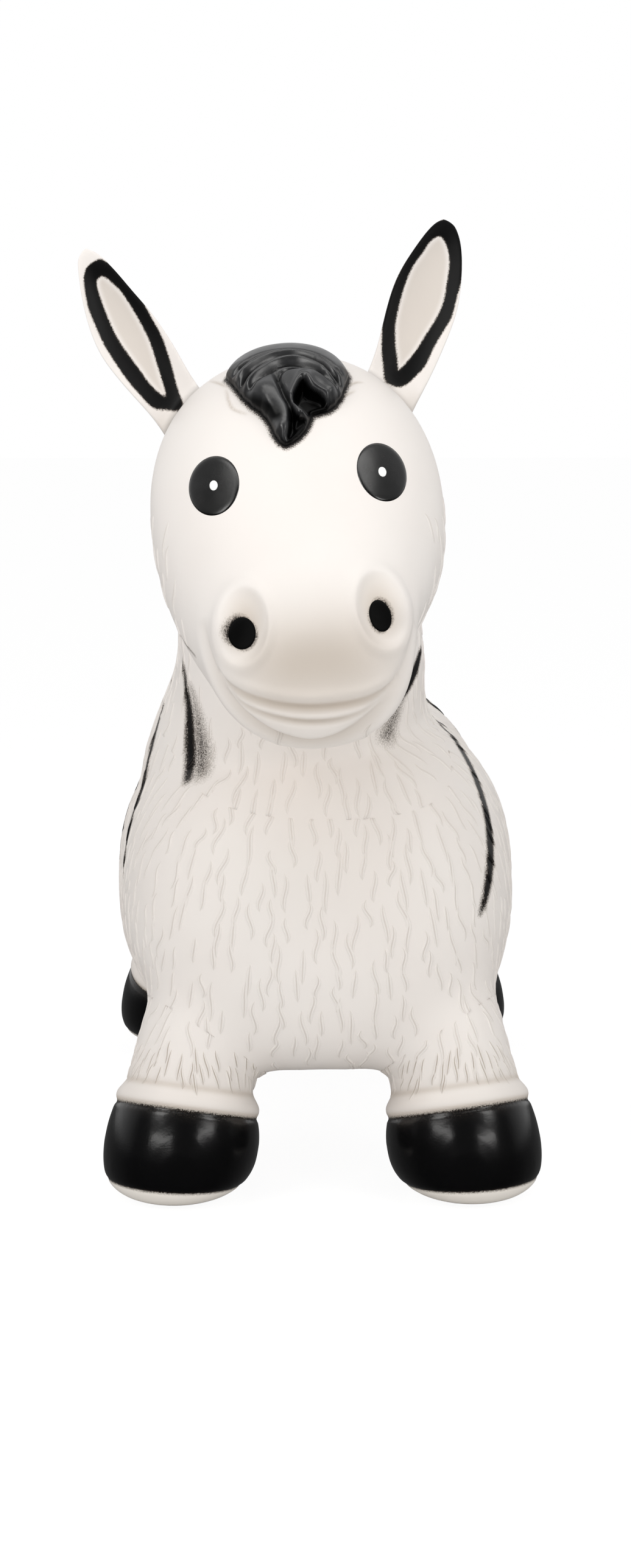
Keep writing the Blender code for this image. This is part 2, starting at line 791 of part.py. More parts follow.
def forelock_locks():
    """The dome of hair and the locks that run forward over it, in the head's upright frame."""
    width = FORELOCK_WIDTH_SHARE * HEAD_WIDTH
    length = FORELOCK_LENGTH_SHARE * HEAD_LENGTH
    size = Vector((width, length, FORELOCK_HEIGHT_SHARE * HEAD_DEPTH))
    middle = on_head(0.0, FORELOCK_Y_SHARE, FORELOCK_Z_SHARE)
    dome = ball_mesh("dome", Vector(), UNIT_RADIUS)
    dome.transform(Matrix.Translation(middle) @ Matrix.Diagonal((*size, 1.0)))
    meshes = [dome]
    for start, bend, end, thick in LOCK_SHARES:
        start, bend, end = [middle + Vector(share) * size for share in (start, bend, end)]
        outlines = []
        for step in range(LOCK_STEPS + 1):
            t = step / LOCK_STEPS
            point = start * (1.0 - t) ** 2 + bend * 2.0 * t * (1.0 - t) + end * t**2
            heading = ((bend - start) * (1.0 - t) + (end - bend) * t).normalized()
            fullness = swelling(LOCK_START_SHARE, LOCK_STOP_SHARE, t, LOCK_POWER)
            radius = LOCK_THICKNESS / 2.0 * thick * max(fullness, LOCK_END_SHARE)
            frame = heading.to_track_quat("Z", "Y").to_matrix()
            outlines.append(circle(point, frame, radius, LOCK_SIDES))
        meshes.append(lofted_mesh("lock", outlines))
    return meshes


def forelock_form(cutters):
    meshes = forelock_locks()
    pose = head_pose()
    for mesh in meshes:
        mesh.transform(pose)
    return fused_form("forelock", meshes, HAIR_VOXEL, HAIR_SMOOTHING_COUNT, HAIR_KEPT_SHARE, cutters)


def forelock_margin(forelock, cutters):
    """The forelock with a gap around it, for the mane behind it."""
    return grown_form(forelock, SEAT_GAP, cutters)


def crest_mesh(name, points, outs, widths, proud, sink, sides):
    """A rounded ridge that follows points on the skin, partly under it."""
    outlines = []
    last = len(points) - 1
    for index, (point, out, width) in enumerate(zip(points, outs, widths)):
        heading = (points[min(index + 1, last)] - points[max(index - 1, 0)]).normalized()
        out = (out - heading * out.dot(heading)).normalized()
        across = heading.cross(out)
        outlines.append(section(point, across * width, out * proud, -out * sink, ROUND, sides))
    return lofted_mesh(name, outlines)


def mane_form(surface, cutters):
    """A crest over places that rays find on the back of the head and the nape."""
    pose = head_pose()
    hub = pose @ on_head(0.0, MANE_HUB_Y_SHARE, MANE_HUB_Z_SHARE)
    points = []
    outs = []
    widths = []
    for step in range(MANE_STEPS + 1):
        t = step / MANE_STEPS
        angle = math.radians(MANE_START + (MANE_END - MANE_START) * t)
        direction = pose.to_3x3() @ Vector((0.0, math.sin(angle), math.cos(angle)))
        point, out = surface.ray_cast(hub, direction)[:2]
        points.append(point)
        outs.append(out)
        wave = 1.0 + MANE_WAVE_SHARE * math.cos(math.tau * MANE_WAVES * t)
        fullness = swelling(MANE_START_SHARE, MANE_STOP_SHARE, t, MANE_POWER)
        widths.append(MANE_WIDTH / 2.0 * wave * fullness)
    mesh = crest_mesh("mane", points, outs, widths, MANE_PROUD, MANE_SINK, MANE_SIDES)
    return guide("mane", mesh, cutters)


def tail_form(surface, cutters):
    """A tail with a fuller end, over places that rays find on the rump."""
    points = []
    outs = []
    widths = []
    hub_y = CHEST_Y + TAIL_HUB_Y_SHARE * TORSO_LENGTH
    for down, wide in eased_rows(TAIL_SHARES, TAIL_STEP_COUNT):
        up = TAIL_TOP_SHARE + (TAIL_END_SHARE - TAIL_TOP_SHARE) * down
        hub = Vector((TORSO_X, hub_y, BELLY_HEIGHT + up * TORSO_DEPTH))
        point, out = surface.ray_cast(hub, REARWARD)[:2]
        points.append(point)
        outs.append(out)
        widths.append(TAIL_WIDTH / 2.0 * wide)
    mesh = crest_mesh("tail", points, outs, widths, TAIL_PROUD, TAIL_SINK, TAIL_SIDES)
    return guide("tail", mesh, cutters)


def print_mesh(name, surface, at, width, height, tilt, low, high, rings, sides):
    """A thin oval of print that follows the face, seen straight from the front."""
    pose = head_pose()
    turn = math.radians(tilt)
    start_y = HEAD_MUZZLE_Y - HEAD_LENGTH
    ahead = pose.to_3x3() @ REARWARD
    layers = []
    spots = [(0.0, 0.0)]
    for ring in range(1, rings + 1):
        for index in range(sides):
            angle = math.tau * index / sides
            reach = ring / rings
            spots.append((reach * math.cos(angle), reach * math.sin(angle)))
    for height_above in (low, high):
        layer = []
        for across, along in spots:
            out_x = across * width / 2.0
            out_z = along * height / 2.0
            local = Vector((
                at.x + out_x * math.cos(turn) - out_z * math.sin(turn),
                start_y,
                at.z + out_x * math.sin(turn) + out_z * math.cos(turn),
            ))
            point, normal = surface.ray_cast(pose @ local, ahead)[:2]
            layer.append(point + normal * height_above)
        layers.append(layer)
    return layered_mesh(name, layers, rings, sides)


def layered_mesh(name, layers, rings, sides):
    """A closed disc between two layers of points: a middle point and then rings."""
    work = bmesh.new()
    sheets = [[work.verts.new(point) for point in layer] for layer in layers]
    for sheet in sheets:
        for index in range(sides):
            follow = (index + 1) % sides
            work.faces.new((sheet[0], sheet[1 + index], sheet[1 + follow]))
            for ring in range(rings - 1):
                inner = 1 + ring * sides
                outer = inner + sides
                work.faces.new(
                    (sheet[inner + index], sheet[outer + index], sheet[outer + follow], sheet[inner + follow])
                )
    edge = 1 + (rings - 1) * sides
    low, high = sheets
    for index in range(sides):
        follow = (index + 1) % sides
        work.faces.new((low[edge + index], low[edge + follow], high[edge + follow], high[edge + index]))
    bmesh.ops.recalc_face_normals(work, faces=work.faces[:])
    made = bpy.data.meshes.new(name)
    work.to_mesh(made)
    work.free()
    return made


def build_print(surface, grown, looks, parts, cutters):
    """The eyes with their glints, and the nostrils."""
    for name, side in HANDS:
        eye_at = on_head(side * EYE_X_SHARE, 0.0, EYE_Z_SHARE)
        eye = print_mesh(
            "eye", surface, eye_at, EYE_WIDTH, EYE_HEIGHT, side * EYE_TILT, -PRINT_SINK, PRINT_PROUD,
            EYE_RINGS, EYE_SIDES,
        )
        glint_low = PRINT_PROUD + GLINT_LIFT
        glint = print_mesh(
            "glint", surface, eye_at, GLINT_WIDTH, GLINT_HEIGHT, side * EYE_TILT, glint_low,
            glint_low + GLINT_THICKNESS, GLINT_RINGS, GLINT_SIDES,
        )
        nostril = print_mesh(
            "nostril", surface, nostril_at(side), NOSTRIL_WIDTH, NOSTRIL_HEIGHT, side * NOSTRIL_TILT,
            -PRINT_SINK, PRINT_PROUD, NOSTRIL_RINGS, NOSTRIL_SIDES,
        )
        for piece, mesh in (("eye", eye), ("nostril", nostril)):
            item = guide(piece, mesh, cutters)
            combine(item, grown, "DIFFERENCE")
            finish(item, f"{piece}_{name}", looks["black"], parts)
        finish(guide("glint", glint, cutters), f"glint_{name}", looks["white"], parts)


def turned(name, profile, place, sides, cutters, closed):
    """A solid turned about its own Z axis from a profile of radius and height, top to bottom."""
    work = bmesh.new()
    verts = [work.verts.new((radius, 0.0, height)) for radius, height in profile]
    ends = verts[1:] + verts[:1] if closed else verts[1:]
    for first, second in zip(verts, ends):
        work.edges.new((first, second))
    mesh = bpy.data.meshes.new(name)
    work.to_mesh(mesh)
    work.free()
    item = guide(name, mesh, cutters)
    spin = item.modifiers.new("spin", "SCREW")
    spin.steps = sides
    spin.render_steps = sides
    spin.use_merge_vertices = True
    spin.merge_threshold = SPIN_MERGE_DISTANCE
    made = evaluated_mesh(item, name)
    item.modifiers.clear()
    work = bmesh.new()
    work.from_mesh(made)
    bmesh.ops.recalc_face_normals(work, faces=work.faces[:])
    bmesh.ops.transform(work, matrix=place, verts=work.verts[:])
    work.to_mesh(made)
    work.free()
    item.data = made
    return item


def build_valve(surface, torso, looks, parts, cutters):
    """The valve's seat in a hole of the belly, and the plug that is pulled out of it."""
    start = Vector((0.0, VALVE_Y, BELLY_HEIGHT + TORSO_DEPTH / 2.0))
    at = surface.ray_cast(start, -UP)[0]
    place = Matrix.Translation(at)
    seat = VALVE_SEAT_WIDTH / 2.0
    hole = seat + SEAT_GAP
    reach = VALVE_LENGTH + WALL
    profile = ((0.0, reach), (hole, reach), (hole, -reach), (0.0, -reach))
    cutter = turned("hole", profile, place, VALVE_SIDES, cutters, False)
    combine(torso, cutter, "DIFFERENCE")
    bore = VALVE_PLUG_WIDTH / 2.0 + SEAT_GAP
    recess = VALVE_PLUG_HEAD / 2.0 + SEAT_GAP
    ledge = VALVE_HEAD_DEPTH + SEAT_GAP
    tube = bore + VALVE_TUBE_WALL
    flange = WALL + VALVE_FLANGE_RISE
    flange_top = flange + VALVE_FLANGE_THICKNESS
    profile = (
        (recess, 0.0),
        (recess, ledge),
        (bore, ledge),
        (bore, VALVE_LENGTH),
        (tube, VALVE_LENGTH),
        (tube, flange_top),
        (VALVE_FLANGE_WIDTH / 2.0, flange_top),
        (VALVE_FLANGE_WIDTH / 2.0, flange),
        (seat, flange),
        (seat, 0.0),
    )
    seat_ring = turned("seat", profile, place, VALVE_SIDES, cutters, True)
    finish(seat_ring, "valve_seat", looks["valve"], parts)
    stem = VALVE_PLUG_WIDTH / 2.0
    head = VALVE_PLUG_HEAD / 2.0
    profile = (
        (0.0, VALVE_LENGTH),
        (stem, VALVE_LENGTH),
        (stem, VALVE_HEAD_DEPTH),
        (head, VALVE_HEAD_DEPTH),
        (head, 0.0),
        (0.0, 0.0),
    )
    plug = turned("plug", profile, place, VALVE_SIDES, cutters, False)
    finish(plug, "valve_plug", looks["valve"], parts)
    return at


def joint(name, at, parent, parts):
    """An empty on a joint's axis, which the pieces that turn there hang from."""
    made = bpy.data.objects.new(name, None)
    parts.objects.link(made)
    made.location = at
    if parent:
        made.parent = parent
        made.matrix_parent_inverse = Matrix.Translation(-parent.location)
    return made


def hang(names, empty):
    for name in names:
        item = bpy.data.objects[name]
        item.parent = empty
        item.matrix_parent_inverse = Matrix.Translation(-empty.location)


def hang_all(valve_at, parts):
    """Every piece under the empty of the joint that moves it."""
    root = joint("zebra_root", Vector(), None, parts)
    hang(("torso", "tail", "valve_seat"), root)
    hang(("valve_plug",), joint("valve_slide", valve_at, root, parts))
    neck = joint("neck_bend", neck_middle(), root, parts)
    hang(("head_and_neck", "forelock", "mane"), neck)
    for name, side in HANDS:
        hang((f"eye_{name}", f"glint_{name}", f"nostril_{name}"), neck)
        hang((f"ear_{name}",), joint(f"ear_bend_{name}", ear_base(side), neck, parts))
    for name, *place in leg_places():
        hip = joint(f"hip_bend_{name}", hip_of(*place), root, parts)
        hang((f"leg_{name}", f"hoof_{name}", f"sole_{name}"), hip)


def main():
    clear_scene()
    parts = collection("bouncy_zebra")
    cutters = collection("cutters")
    looks = {
        "skin": material("ivory_skin", SKIN_COLOUR, 0.45),
        "black": material("black_print", BLACK_COLOUR, 0.35),
        "sole": material("bare_sole", SOLE_COLOUR, 0.5),
        "white": material("white_print", WHITE_COLOUR, 0.4),
        "valve": material("valve_vinyl", VALVE_COLOUR, 0.5),
    }
    form = skin_form(cutters)
    surface = surface_of(form)
    shell = skin_shell(form, cutters)
    zones = [leg_zone(place, FLEX_GAP, cutters) for name, *place in leg_places()]

    torso = guide("torso", shell.data.copy(), cutters)
    combine(torso, neck_zone(FLEX_GAP, cutters), "DIFFERENCE")
    for zone in zones:
        combine(torso, zone, "DIFFERENCE")
    valve_at = build_valve(surface, torso, looks, parts, cutters)
    finish(torso, "torso", looks["skin"], parts)

    head = guide("head", shell.data.copy(), cutters)
    combine(head, neck_zone(0.0, cutters), "INTERSECT")
    for name, side in HANDS:
        combine(head, ear_zone(side, FLEX_GAP, cutters), "DIFFERENCE")
        build_ear(name, side, shell, looks, parts, cutters)
    finish(head, "head_and_neck", looks["skin"], parts)

    for name, *place in leg_places():
        build_leg(name, place, shell, looks, parts, cutters)

    grown = grown_form(form, SEAT_GAP, cutters)
    forelock = forelock_form(cutters)
    mane = mane_form(surface, cutters)
    tail = tail_form(surface, cutters)
    for hair in (forelock, mane, tail):
        combine(hair, grown, "DIFFERENCE")
    combine(mane, forelock_margin(forelock, cutters), "DIFFERENCE")
    for name, side in HANDS:
        for hair in (forelock, mane):
            combine(hair, ear_zone(side, FLEX_GAP, cutters), "DIFFERENCE")
    finish(forelock, "forelock", looks["black"], parts)
    finish(mane, "mane", looks["black"], parts)
    finish(tail, "tail", looks["black"], parts)
    build_print(surface, grown, looks, parts, cutters)
    hang_all(valve_at, parts)


main()
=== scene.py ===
# %% [markdown]
# # Bouncing ride-on zebra
# A child sits on this air-filled toy and holds its ears. It is one hollow skin of soft PVC, cast in a
# heated mould that is turned about two axes, then sprayed and printed by hand. The solids for strength
# and collision are loaded first. Every piece made here lies where its solid lies.

# %% Load the frame
import math

import bmesh
import bpy
import numpy as np
from mathutils import Matrix, Vector
from mathutils.bvhtree import BVHTree


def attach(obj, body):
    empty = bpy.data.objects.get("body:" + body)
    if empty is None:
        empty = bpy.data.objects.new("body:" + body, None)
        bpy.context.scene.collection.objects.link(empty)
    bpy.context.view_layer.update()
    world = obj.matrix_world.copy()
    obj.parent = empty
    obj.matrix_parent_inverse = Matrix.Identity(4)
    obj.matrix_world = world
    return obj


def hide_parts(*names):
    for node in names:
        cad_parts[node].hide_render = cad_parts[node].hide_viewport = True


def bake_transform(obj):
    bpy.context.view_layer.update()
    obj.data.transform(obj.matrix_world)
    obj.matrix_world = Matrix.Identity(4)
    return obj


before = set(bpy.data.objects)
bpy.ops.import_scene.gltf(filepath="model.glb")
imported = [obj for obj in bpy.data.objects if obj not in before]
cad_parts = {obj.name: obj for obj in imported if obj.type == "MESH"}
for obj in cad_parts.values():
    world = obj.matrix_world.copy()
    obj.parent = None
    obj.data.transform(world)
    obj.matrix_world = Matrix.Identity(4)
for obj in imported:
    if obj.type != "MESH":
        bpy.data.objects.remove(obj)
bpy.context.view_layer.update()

# %% [markdown]
# ## Small helpers
# A few helpers are used all the way through: one turns a written colour into light, one adds a node
# with its settings and links, and the rest open, read and finish meshes. A single node helper keeps
# each material short enough to be read as a list of what it does.

# %% Colours, nodes and objects
MM = 0.001
MATH, VECTOR_MATH, MIX = "ShaderNodeMath", "ShaderNodeVectorMath", "ShaderNodeMix"
NOISE, FIT, RANDOM = "ShaderNodeTexNoise", "ShaderNodeMapRange", "FunctionNodeRandomValue"


def colour(code):
    """An sRGB hex value as linear light with full opacity."""
    parts = [int(code[start:start + 2], 16) / 255.0 for start in (1, 3, 5)]
    linear = [part / 12.92 if part <= 0.04045 else ((part + 0.055) / 1.055) ** 2.4 for part in parts]
    return (*linear, 1.0)


def add(tree, kind, inputs=(), **settings):
    """Add a node. Its inputs come in order or by name or number, as values, outputs or nodes.

    A node stands for its first output."""
    made = tree.nodes.new(kind)
    for name, value in settings.items():
        setattr(made, name, value)
    for key, value in (inputs.items() if isinstance(inputs, dict) else enumerate(inputs)):
        if isinstance(value, bpy.types.Node):
            value = value.outputs[0]
        if isinstance(value, bpy.types.NodeSocket):
            tree.links.new(value, made.inputs[key])
        else:
            made.inputs[key].default_value = value
    return made


def new_object(name, mesh):
    made = bpy.data.objects.new(name, mesh)
    bpy.context.scene.collection.objects.link(made)
    return made


def smooth_object(name, mesh, look):
    """A finished object in one material, with smooth shading."""
    mesh.materials.append(look)
    mesh.shade_smooth()
    return new_object(name, mesh)


def evaluated(item, name):
    """The object's mesh after its modifiers, and the object is put away."""
    view = bpy.context.evaluated_depsgraph_get()
    view.update()
    made = bpy.data.meshes.new_from_object(item.evaluated_get(view))
    made.name = name
    bpy.data.objects.remove(item)
    return made


# %% Meshes as bmesh and as arrays
def opened(mesh):
    """A bmesh to work on, from a mesh."""
    work = bmesh.new()
    work.from_mesh(mesh)
    return work


def put_back(work, mesh):
    work.to_mesh(mesh)
    work.free()
    return mesh


def to_mesh(work, name):
    return put_back(work, bpy.data.meshes.new(name))


def values_of(items, key, width, kind=np.float32):
    """A value of every item of a mesh, as an array with one row for each item."""
    values = np.empty(len(items) * width, kind)
    items.foreach_get(key, values)
    return values.reshape(-1, width)


def places_of(mesh):
    return values_of(mesh.vertices, "co", 3).astype(float)


def facings_of(mesh):
    return values_of(mesh.vertex_normals, "vector", 3).astype(float)


def keep_on(mesh, name, values):
    """Keep one number for each point of a mesh, for a material to read."""
    layer = mesh.attributes.new(name, "FLOAT", "POINT")
    layer.data.foreach_set("value", np.asarray(values, np.float32))


def tree_of(mesh):
    """A search tree that rays can be sent to."""
    work = opened(mesh)
    tree = BVHTree.FromBMesh(work)
    work.free()
    return tree


# %% [markdown]
# ## The camera
# The photograph was taken from the front, a little above the toy's eyes, with a long lens. The camera
# comes first because the sprayed marks are placed by what it sees: a pixel gives a ray, and the ray
# gives a place on the skin.

# %% Camera
PHOTO_WIDTH = 1036
PHOTO_HEIGHT = 2576
FOCAL_PIXELS = 4400.0
SENSOR_HEIGHT = 36.0
CAMERA_PLACE = Vector((-0.03, -1.676, 0.49))
CAMERA_TURN = (math.radians(81.0), 0.0, math.radians(-0.955))

lens = bpy.data.cameras.new("studio_camera")
lens.sensor_fit = "VERTICAL"
lens.sensor_height = SENSOR_HEIGHT
lens.lens = FOCAL_PIXELS / PHOTO_HEIGHT * SENSOR_HEIGHT
lens.clip_start = 0.05
lens.clip_end = 60.0
camera = new_object("studio_camera", lens)
camera.location = CAMERA_PLACE
camera.rotation_euler = CAMERA_TURN
bpy.context.scene.camera = camera
bpy.context.view_layer.update()
CAMERA_MATRIX = camera.matrix_world.copy()
print("lens", round(lens.lens, 2), "mm")


def through_pixel(u, v):
    """The direction through a pixel, in the camera's own frame."""
    across = (u - PHOTO_WIDTH / 2.0) / FOCAL_PIXELS
    return Vector((across, (PHOTO_HEIGHT / 2.0 - v) / FOCAL_PIXELS, -1.0))


def seen(u, v, surface, start_y=None):
    """The place and the facing of a surface where the photograph shows a pixel.

    With a start, whatever stands in front of it is left out."""
    ray = (CAMERA_MATRIX.to_3x3() @ through_pixel(u, v)).normalized()
    start = CAMERA_PLACE
    if start_y is not None:
        start = CAMERA_PLACE + ray * (start_y - CAMERA_PLACE.y) / ray.y
    point, facing = surface.ray_cast(start, ray)[:2]
    if point is None:
        point, facing = surface.find_nearest(CAMERA_PLACE + ray * CAMERA_PLACE.length)[:2]
    return point, facing


def on_photo(points):
    """Pixels of the photograph for an array of places."""
    turn = np.array(CAMERA_MATRIX.to_3x3())
    local = (points - np.array(CAMERA_PLACE)) @ turn
    u = PHOTO_WIDTH / 2.0 - FOCAL_PIXELS * local[:, 0] / local[:, 2]
    v = PHOTO_HEIGHT / 2.0 + FOCAL_PIXELS * local[:, 1] / local[:, 2]
    return np.stack([u, v], axis=1)


# %% [markdown]
# ## The forms of the animal
# Torso, neck, head and legs are each a row of closed outlines with a skin stretched over them, which
# is called a loft. The tables are those of the solids, with finer outlines. A zebra could also be
# sculpted by hand, but tables keep every measure open to change.

# %% Tables of the forms
FORM_SIDES = 96
ROWS_BETWEEN = 6
UP = Vector((0.0, 0.0, 1.0))
SIDE = Vector((1.0, 0.0, 0.0))
HANDS = (("left", 1.0), ("right", -1.0))

TORSO_LENGTH, TORSO_WIDTH, TORSO_DEPTH = 0.448, 0.249, 0.230
BELLY_HEIGHT, TORSO_X, CHEST_Y, TORSO_SQUARENESS = 0.0615, -0.0025, -0.176, 2.35
# Share of the length behind the chest, of half the width, and of the depth at the underside, at the
# widest level and at the back
TORSO_SHARES = (
    (0.000, 0.30, 0.34, 0.47, 0.62),
    (0.018, 0.56, 0.19, 0.45, 0.76),
    (0.060, 0.77, 0.07, 0.445, 0.89),
    (0.135, 0.89, 0.02, 0.445, 0.97),
    (0.225, 0.95, 0.005, 0.45, 1.00),
    (0.335, 0.985, 0.00, 0.455, 0.97),
    (0.450, 1.00, 0.00, 0.46, 0.905),
    (0.560, 1.00, 0.00, 0.46, 0.885),
    (0.670, 0.98, 0.005, 0.47, 0.91),
    (0.780, 0.94, 0.03, 0.48, 0.945),
    (0.870, 0.85, 0.07, 0.49, 0.935),
    (0.940, 0.71, 0.14, 0.50, 0.86),
    (0.982, 0.52, 0.25, 0.515, 0.75),
    (1.000, 0.28, 0.37, 0.525, 0.65),
)

NECK_WIDTH, NECK_DEPTH, NECK_LENGTH = 0.138, 0.140, 0.200
NECK_LEAN, NECK_ROLL, NECK_SQUARENESS = 28.0, -1.0, 2.2
NECK_MIDDLE = Vector((-0.0155, -0.099, 0.314))
# Share of the length from the middle, of half the width and of half the depth
NECK_SHARES = (
    (-0.50, 1.36, 1.22),
    (-0.36, 1.30, 1.19),
    (-0.22, 1.18, 1.12),
    (-0.08, 1.05, 1.04),
    (0.05, 1.00, 1.00),
    (0.20, 1.00, 1.00),
    (0.35, 0.98, 1.00),
    (0.50, 0.85, 0.85),
)

HEAD_LENGTH, HEAD_WIDTH, HEAD_DEPTH = 0.205, 0.165, 0.210
HEAD_CHIN_Z, HEAD_MUZZLE_Y, HEAD_SQUARENESS = 0.284, -0.285, 2.15
HEAD_ROLL, HEAD_TURN, HEAD_SHIFT = 4.5, 1.5, -0.0056
HEAD_PIVOT = Vector((0.0, -0.076, 0.256))
# Share of the length behind the muzzle, of half the width, and of the depth at the underside, at the
# widest level and at the top
HEAD_SHARES = (
    (0.000, 0.26, 0.13, 0.22, 0.32),
    (0.030, 0.47, 0.055, 0.23, 0.39),
    (0.080, 0.62, 0.01, 0.25, 0.47),
    (0.160, 0.71, 0.00, 0.28, 0.56),
    (0.240, 0.77, 0.00, 0.35, 0.67),
    (0.330, 0.86, 0.01, 0.44, 0.79),
    (0.440, 0.95, 0.025, 0.52, 0.90),
    (0.570, 1.00, 0.055, 0.565, 0.975),
    (0.720, 0.98, 0.12, 0.60, 1.00),
    (0.850, 0.86, 0.25, 0.615, 0.965),
    (0.940, 0.66, 0.40, 0.635, 0.90),
    (1.000, 0.38, 0.53, 0.65, 0.82),
)

LEG_LENGTH, HOOF_WIDTH, HOOF_DEPTH = 0.104, 0.093, 0.098
CORONET_SHARE, SOLE_EDGE_HEIGHT, SOLE_EDGE_SHARE = 0.49, 0.0085, 0.35
# End, sole's place, lean back, lean in and the tilt of the coronet
LEG_ENDS = (
    ("front", 0.0878, -0.136, 8.0, 8.0, 15.0),
    ("rear", 0.097, 0.241, -16.0, 8.0, -15.0),
)
# Share of the length above the sole, of half the width, of half the depth and of the tilt
LEG_SHARES = (
    (-0.013, 0.42, 0.42, 0.00),
    (0.012, 0.68, 0.68, 0.05),
    (0.070, 0.90, 0.90, 0.20),
    (0.160, 0.985, 0.985, 0.45),
    (0.260, 1.00, 1.00, 0.70),
    (0.370, 0.98, 0.98, 0.90),
    (0.480, 0.92, 0.93, 1.00),
    (0.560, 0.87, 0.90, 1.00),
    (0.660, 0.80, 0.88, 1.00),
    (0.780, 0.775, 0.90, 1.00),
    (0.900, 0.775, 0.92, 1.00),
    (1.020, 0.73, 0.86, 1.00),
    (1.120, 0.60, 0.72, 1.00),
    (1.200, 0.36, 0.46, 1.00),
)

# %% Smooth rows of a table
def eased_value(before, start, end, after, t):
    rise = (end - before) / 2.0
    fall = (after - start) / 2.0
    return (
        (2.0 * t**3 - 3.0 * t**2 + 1.0) * start
        + (t**3 - 2.0 * t**2 + t) * rise
        + (3.0 * t**2 - 2.0 * t**3) * end
        + (t**3 - t**2) * fall
    )


def eased_rows(rows, steps=ROWS_BETWEEN):
    """A smooth curve through the rows of a table, with more rows between them."""
    made = []
    last = len(rows) - 1
    for index in range(last):
        near = (rows[max(index - 1, 0)], rows[index], rows[index + 1], rows[min(index + 2, last)])
        for step in range(steps):
            made.append(tuple(eased_value(*values, step / steps) for values in zip(*near)))
    made.append(tuple(rows[last]))
    return made


# %% Outlines and lofts
def signed_power(value, power):
    return math.copysign(abs(value) ** power, value)


def swelling(start, stop, t, power):
    """How full a lock is at a share of its length, as a part of half a wave."""
    return max(math.sin(math.pi * (start + (stop - start) * t)), 0.0) ** power


def section(centre, side, above, below, squareness, sides=FORM_SIDES):
    """A closed outline between an oval and a box, with its own height above and below."""
    points = []
    for index in range(sides):
        angle = math.tau * index / sides
        across = signed_power(math.cos(angle), 2.0 / squareness)
        along = signed_power(math.sin(angle), 2.0 / squareness)
        points.append(centre + side * across + (above if along > 0.0 else below) * abs(along))
    return points


def loft(outlines):
    """A closed skin over a row of outlines, as a bmesh."""
    work = bmesh.new()
    rings = [[work.verts.new(point) for point in outline] for outline in outlines]
    for first, second in zip(rings, rings[1:]):
        for index in range(len(first)):
            follow = (index + 1) % len(first)
            work.faces.new((first[index], first[follow], second[follow], second[index]))
    for ring in (rings[0], rings[-1]):
        tip = work.verts.new(sum((vert.co for vert in ring), Vector()) / len(ring))
        for index in range(len(ring)):
            work.faces.new((ring[index], ring[(index + 1) % len(ring)], tip))
    bmesh.ops.recalc_face_normals(work, faces=work.faces[:])
    return work


# %% Forms of the torso, neck, head and legs
def standing_rows(shares, middle_x, start_y, length, width, base_z, depth):
    rows = []
    for along, across, low, middle, high in eased_rows(shares):
        centre = Vector((middle_x, start_y + along * length, base_z + middle * depth))
        above = UP * (high - middle) * depth
        below = -UP * (middle - low) * depth
        rows.append((centre, SIDE * across * width / 2.0, above, below))
    return rows


def torso_form():
    rows = standing_rows(
        TORSO_SHARES, TORSO_X, CHEST_Y, TORSO_LENGTH, TORSO_WIDTH, BELLY_HEIGHT, TORSO_DEPTH)
    return loft([section(*row, TORSO_SQUARENESS) for row in rows])


LEAN, ROLL = math.radians(NECK_LEAN), math.radians(NECK_ROLL)
NECK_AXIS = Vector((
    -math.sin(ROLL), -math.sin(LEAN) * math.cos(ROLL), math.cos(LEAN) * math.cos(ROLL)))


def neck_form():
    back = SIDE.cross(NECK_AXIS).normalized()
    across = NECK_AXIS.cross(-back).normalized()
    outlines = []
    for along, wide, deep in eased_rows(NECK_SHARES):
        centre = NECK_MIDDLE + NECK_AXIS * along * NECK_LENGTH
        half_depth = back * deep * NECK_DEPTH / 2.0
        half_width = across * wide * NECK_WIDTH / 2.0
        outlines.append(section(centre, half_width, half_depth, -half_depth, NECK_SQUARENESS))
    return loft(outlines)


HEAD_POSE = (
    Matrix.Translation(HEAD_PIVOT + SIDE * HEAD_SHIFT)
    @ Matrix.Rotation(math.radians(HEAD_TURN), 4, "Z")
    @ Matrix.Rotation(math.radians(HEAD_ROLL), 4, "Y").inverted()
    @ Matrix.Translation(-HEAD_PIVOT)
)


def on_head(across, along, up):
    """A place in the head's upright frame, from shares of its half width, length and depth."""
    y = HEAD_MUZZLE_Y + along * HEAD_LENGTH
    return Vector((across * HEAD_WIDTH / 2.0, y, HEAD_CHIN_Z + up * HEAD_DEPTH))


def head_form():
    rows = standing_rows(
        HEAD_SHARES, 0.0, HEAD_MUZZLE_Y, HEAD_LENGTH, HEAD_WIDTH, HEAD_CHIN_Z, HEAD_DEPTH)
    work = loft([section(*row, HEAD_SQUARENESS) for row in rows])
    bmesh.ops.transform(work, matrix=HEAD_POSE, verts=work.verts[:])
    return work


def leg_axis(side, lean_back, lean_in):
    inward = -side * math.tan(math.radians(lean_in))
    return Vector((inward, math.tan(math.radians(lean_back)), 1.0)).normalized()


def leg_form(side, sole, lean_back, lean_in, tilt):
    axis = leg_axis(side, lean_back, lean_in)
    outlines = []
    for height, wide, deep, share in eased_rows(LEG_SHARES):
        up = leg_axis(side, tilt * share, lean_in * share)
        across = (SIDE - up * SIDE.dot(up)).normalized()
        half_width = across * wide * HOOF_WIDTH / 2.0
        half_depth = up.cross(across) * deep * HOOF_DEPTH / 2.0
        centre = sole + axis * height * LEG_LENGTH
        outlines.append(section(centre, half_width, half_depth, -half_depth, 2.0))
    return loft(outlines)


LEG_PLACES = [
    (f"{end}_{hand}", side, Vector((side * x, y, 0.0)), back, inward, tilt)
    for end, x, y, back, inward, tilt in LEG_ENDS
    for hand, side in HANDS
]
print("legs", [place[0] for place in LEG_PLACES])

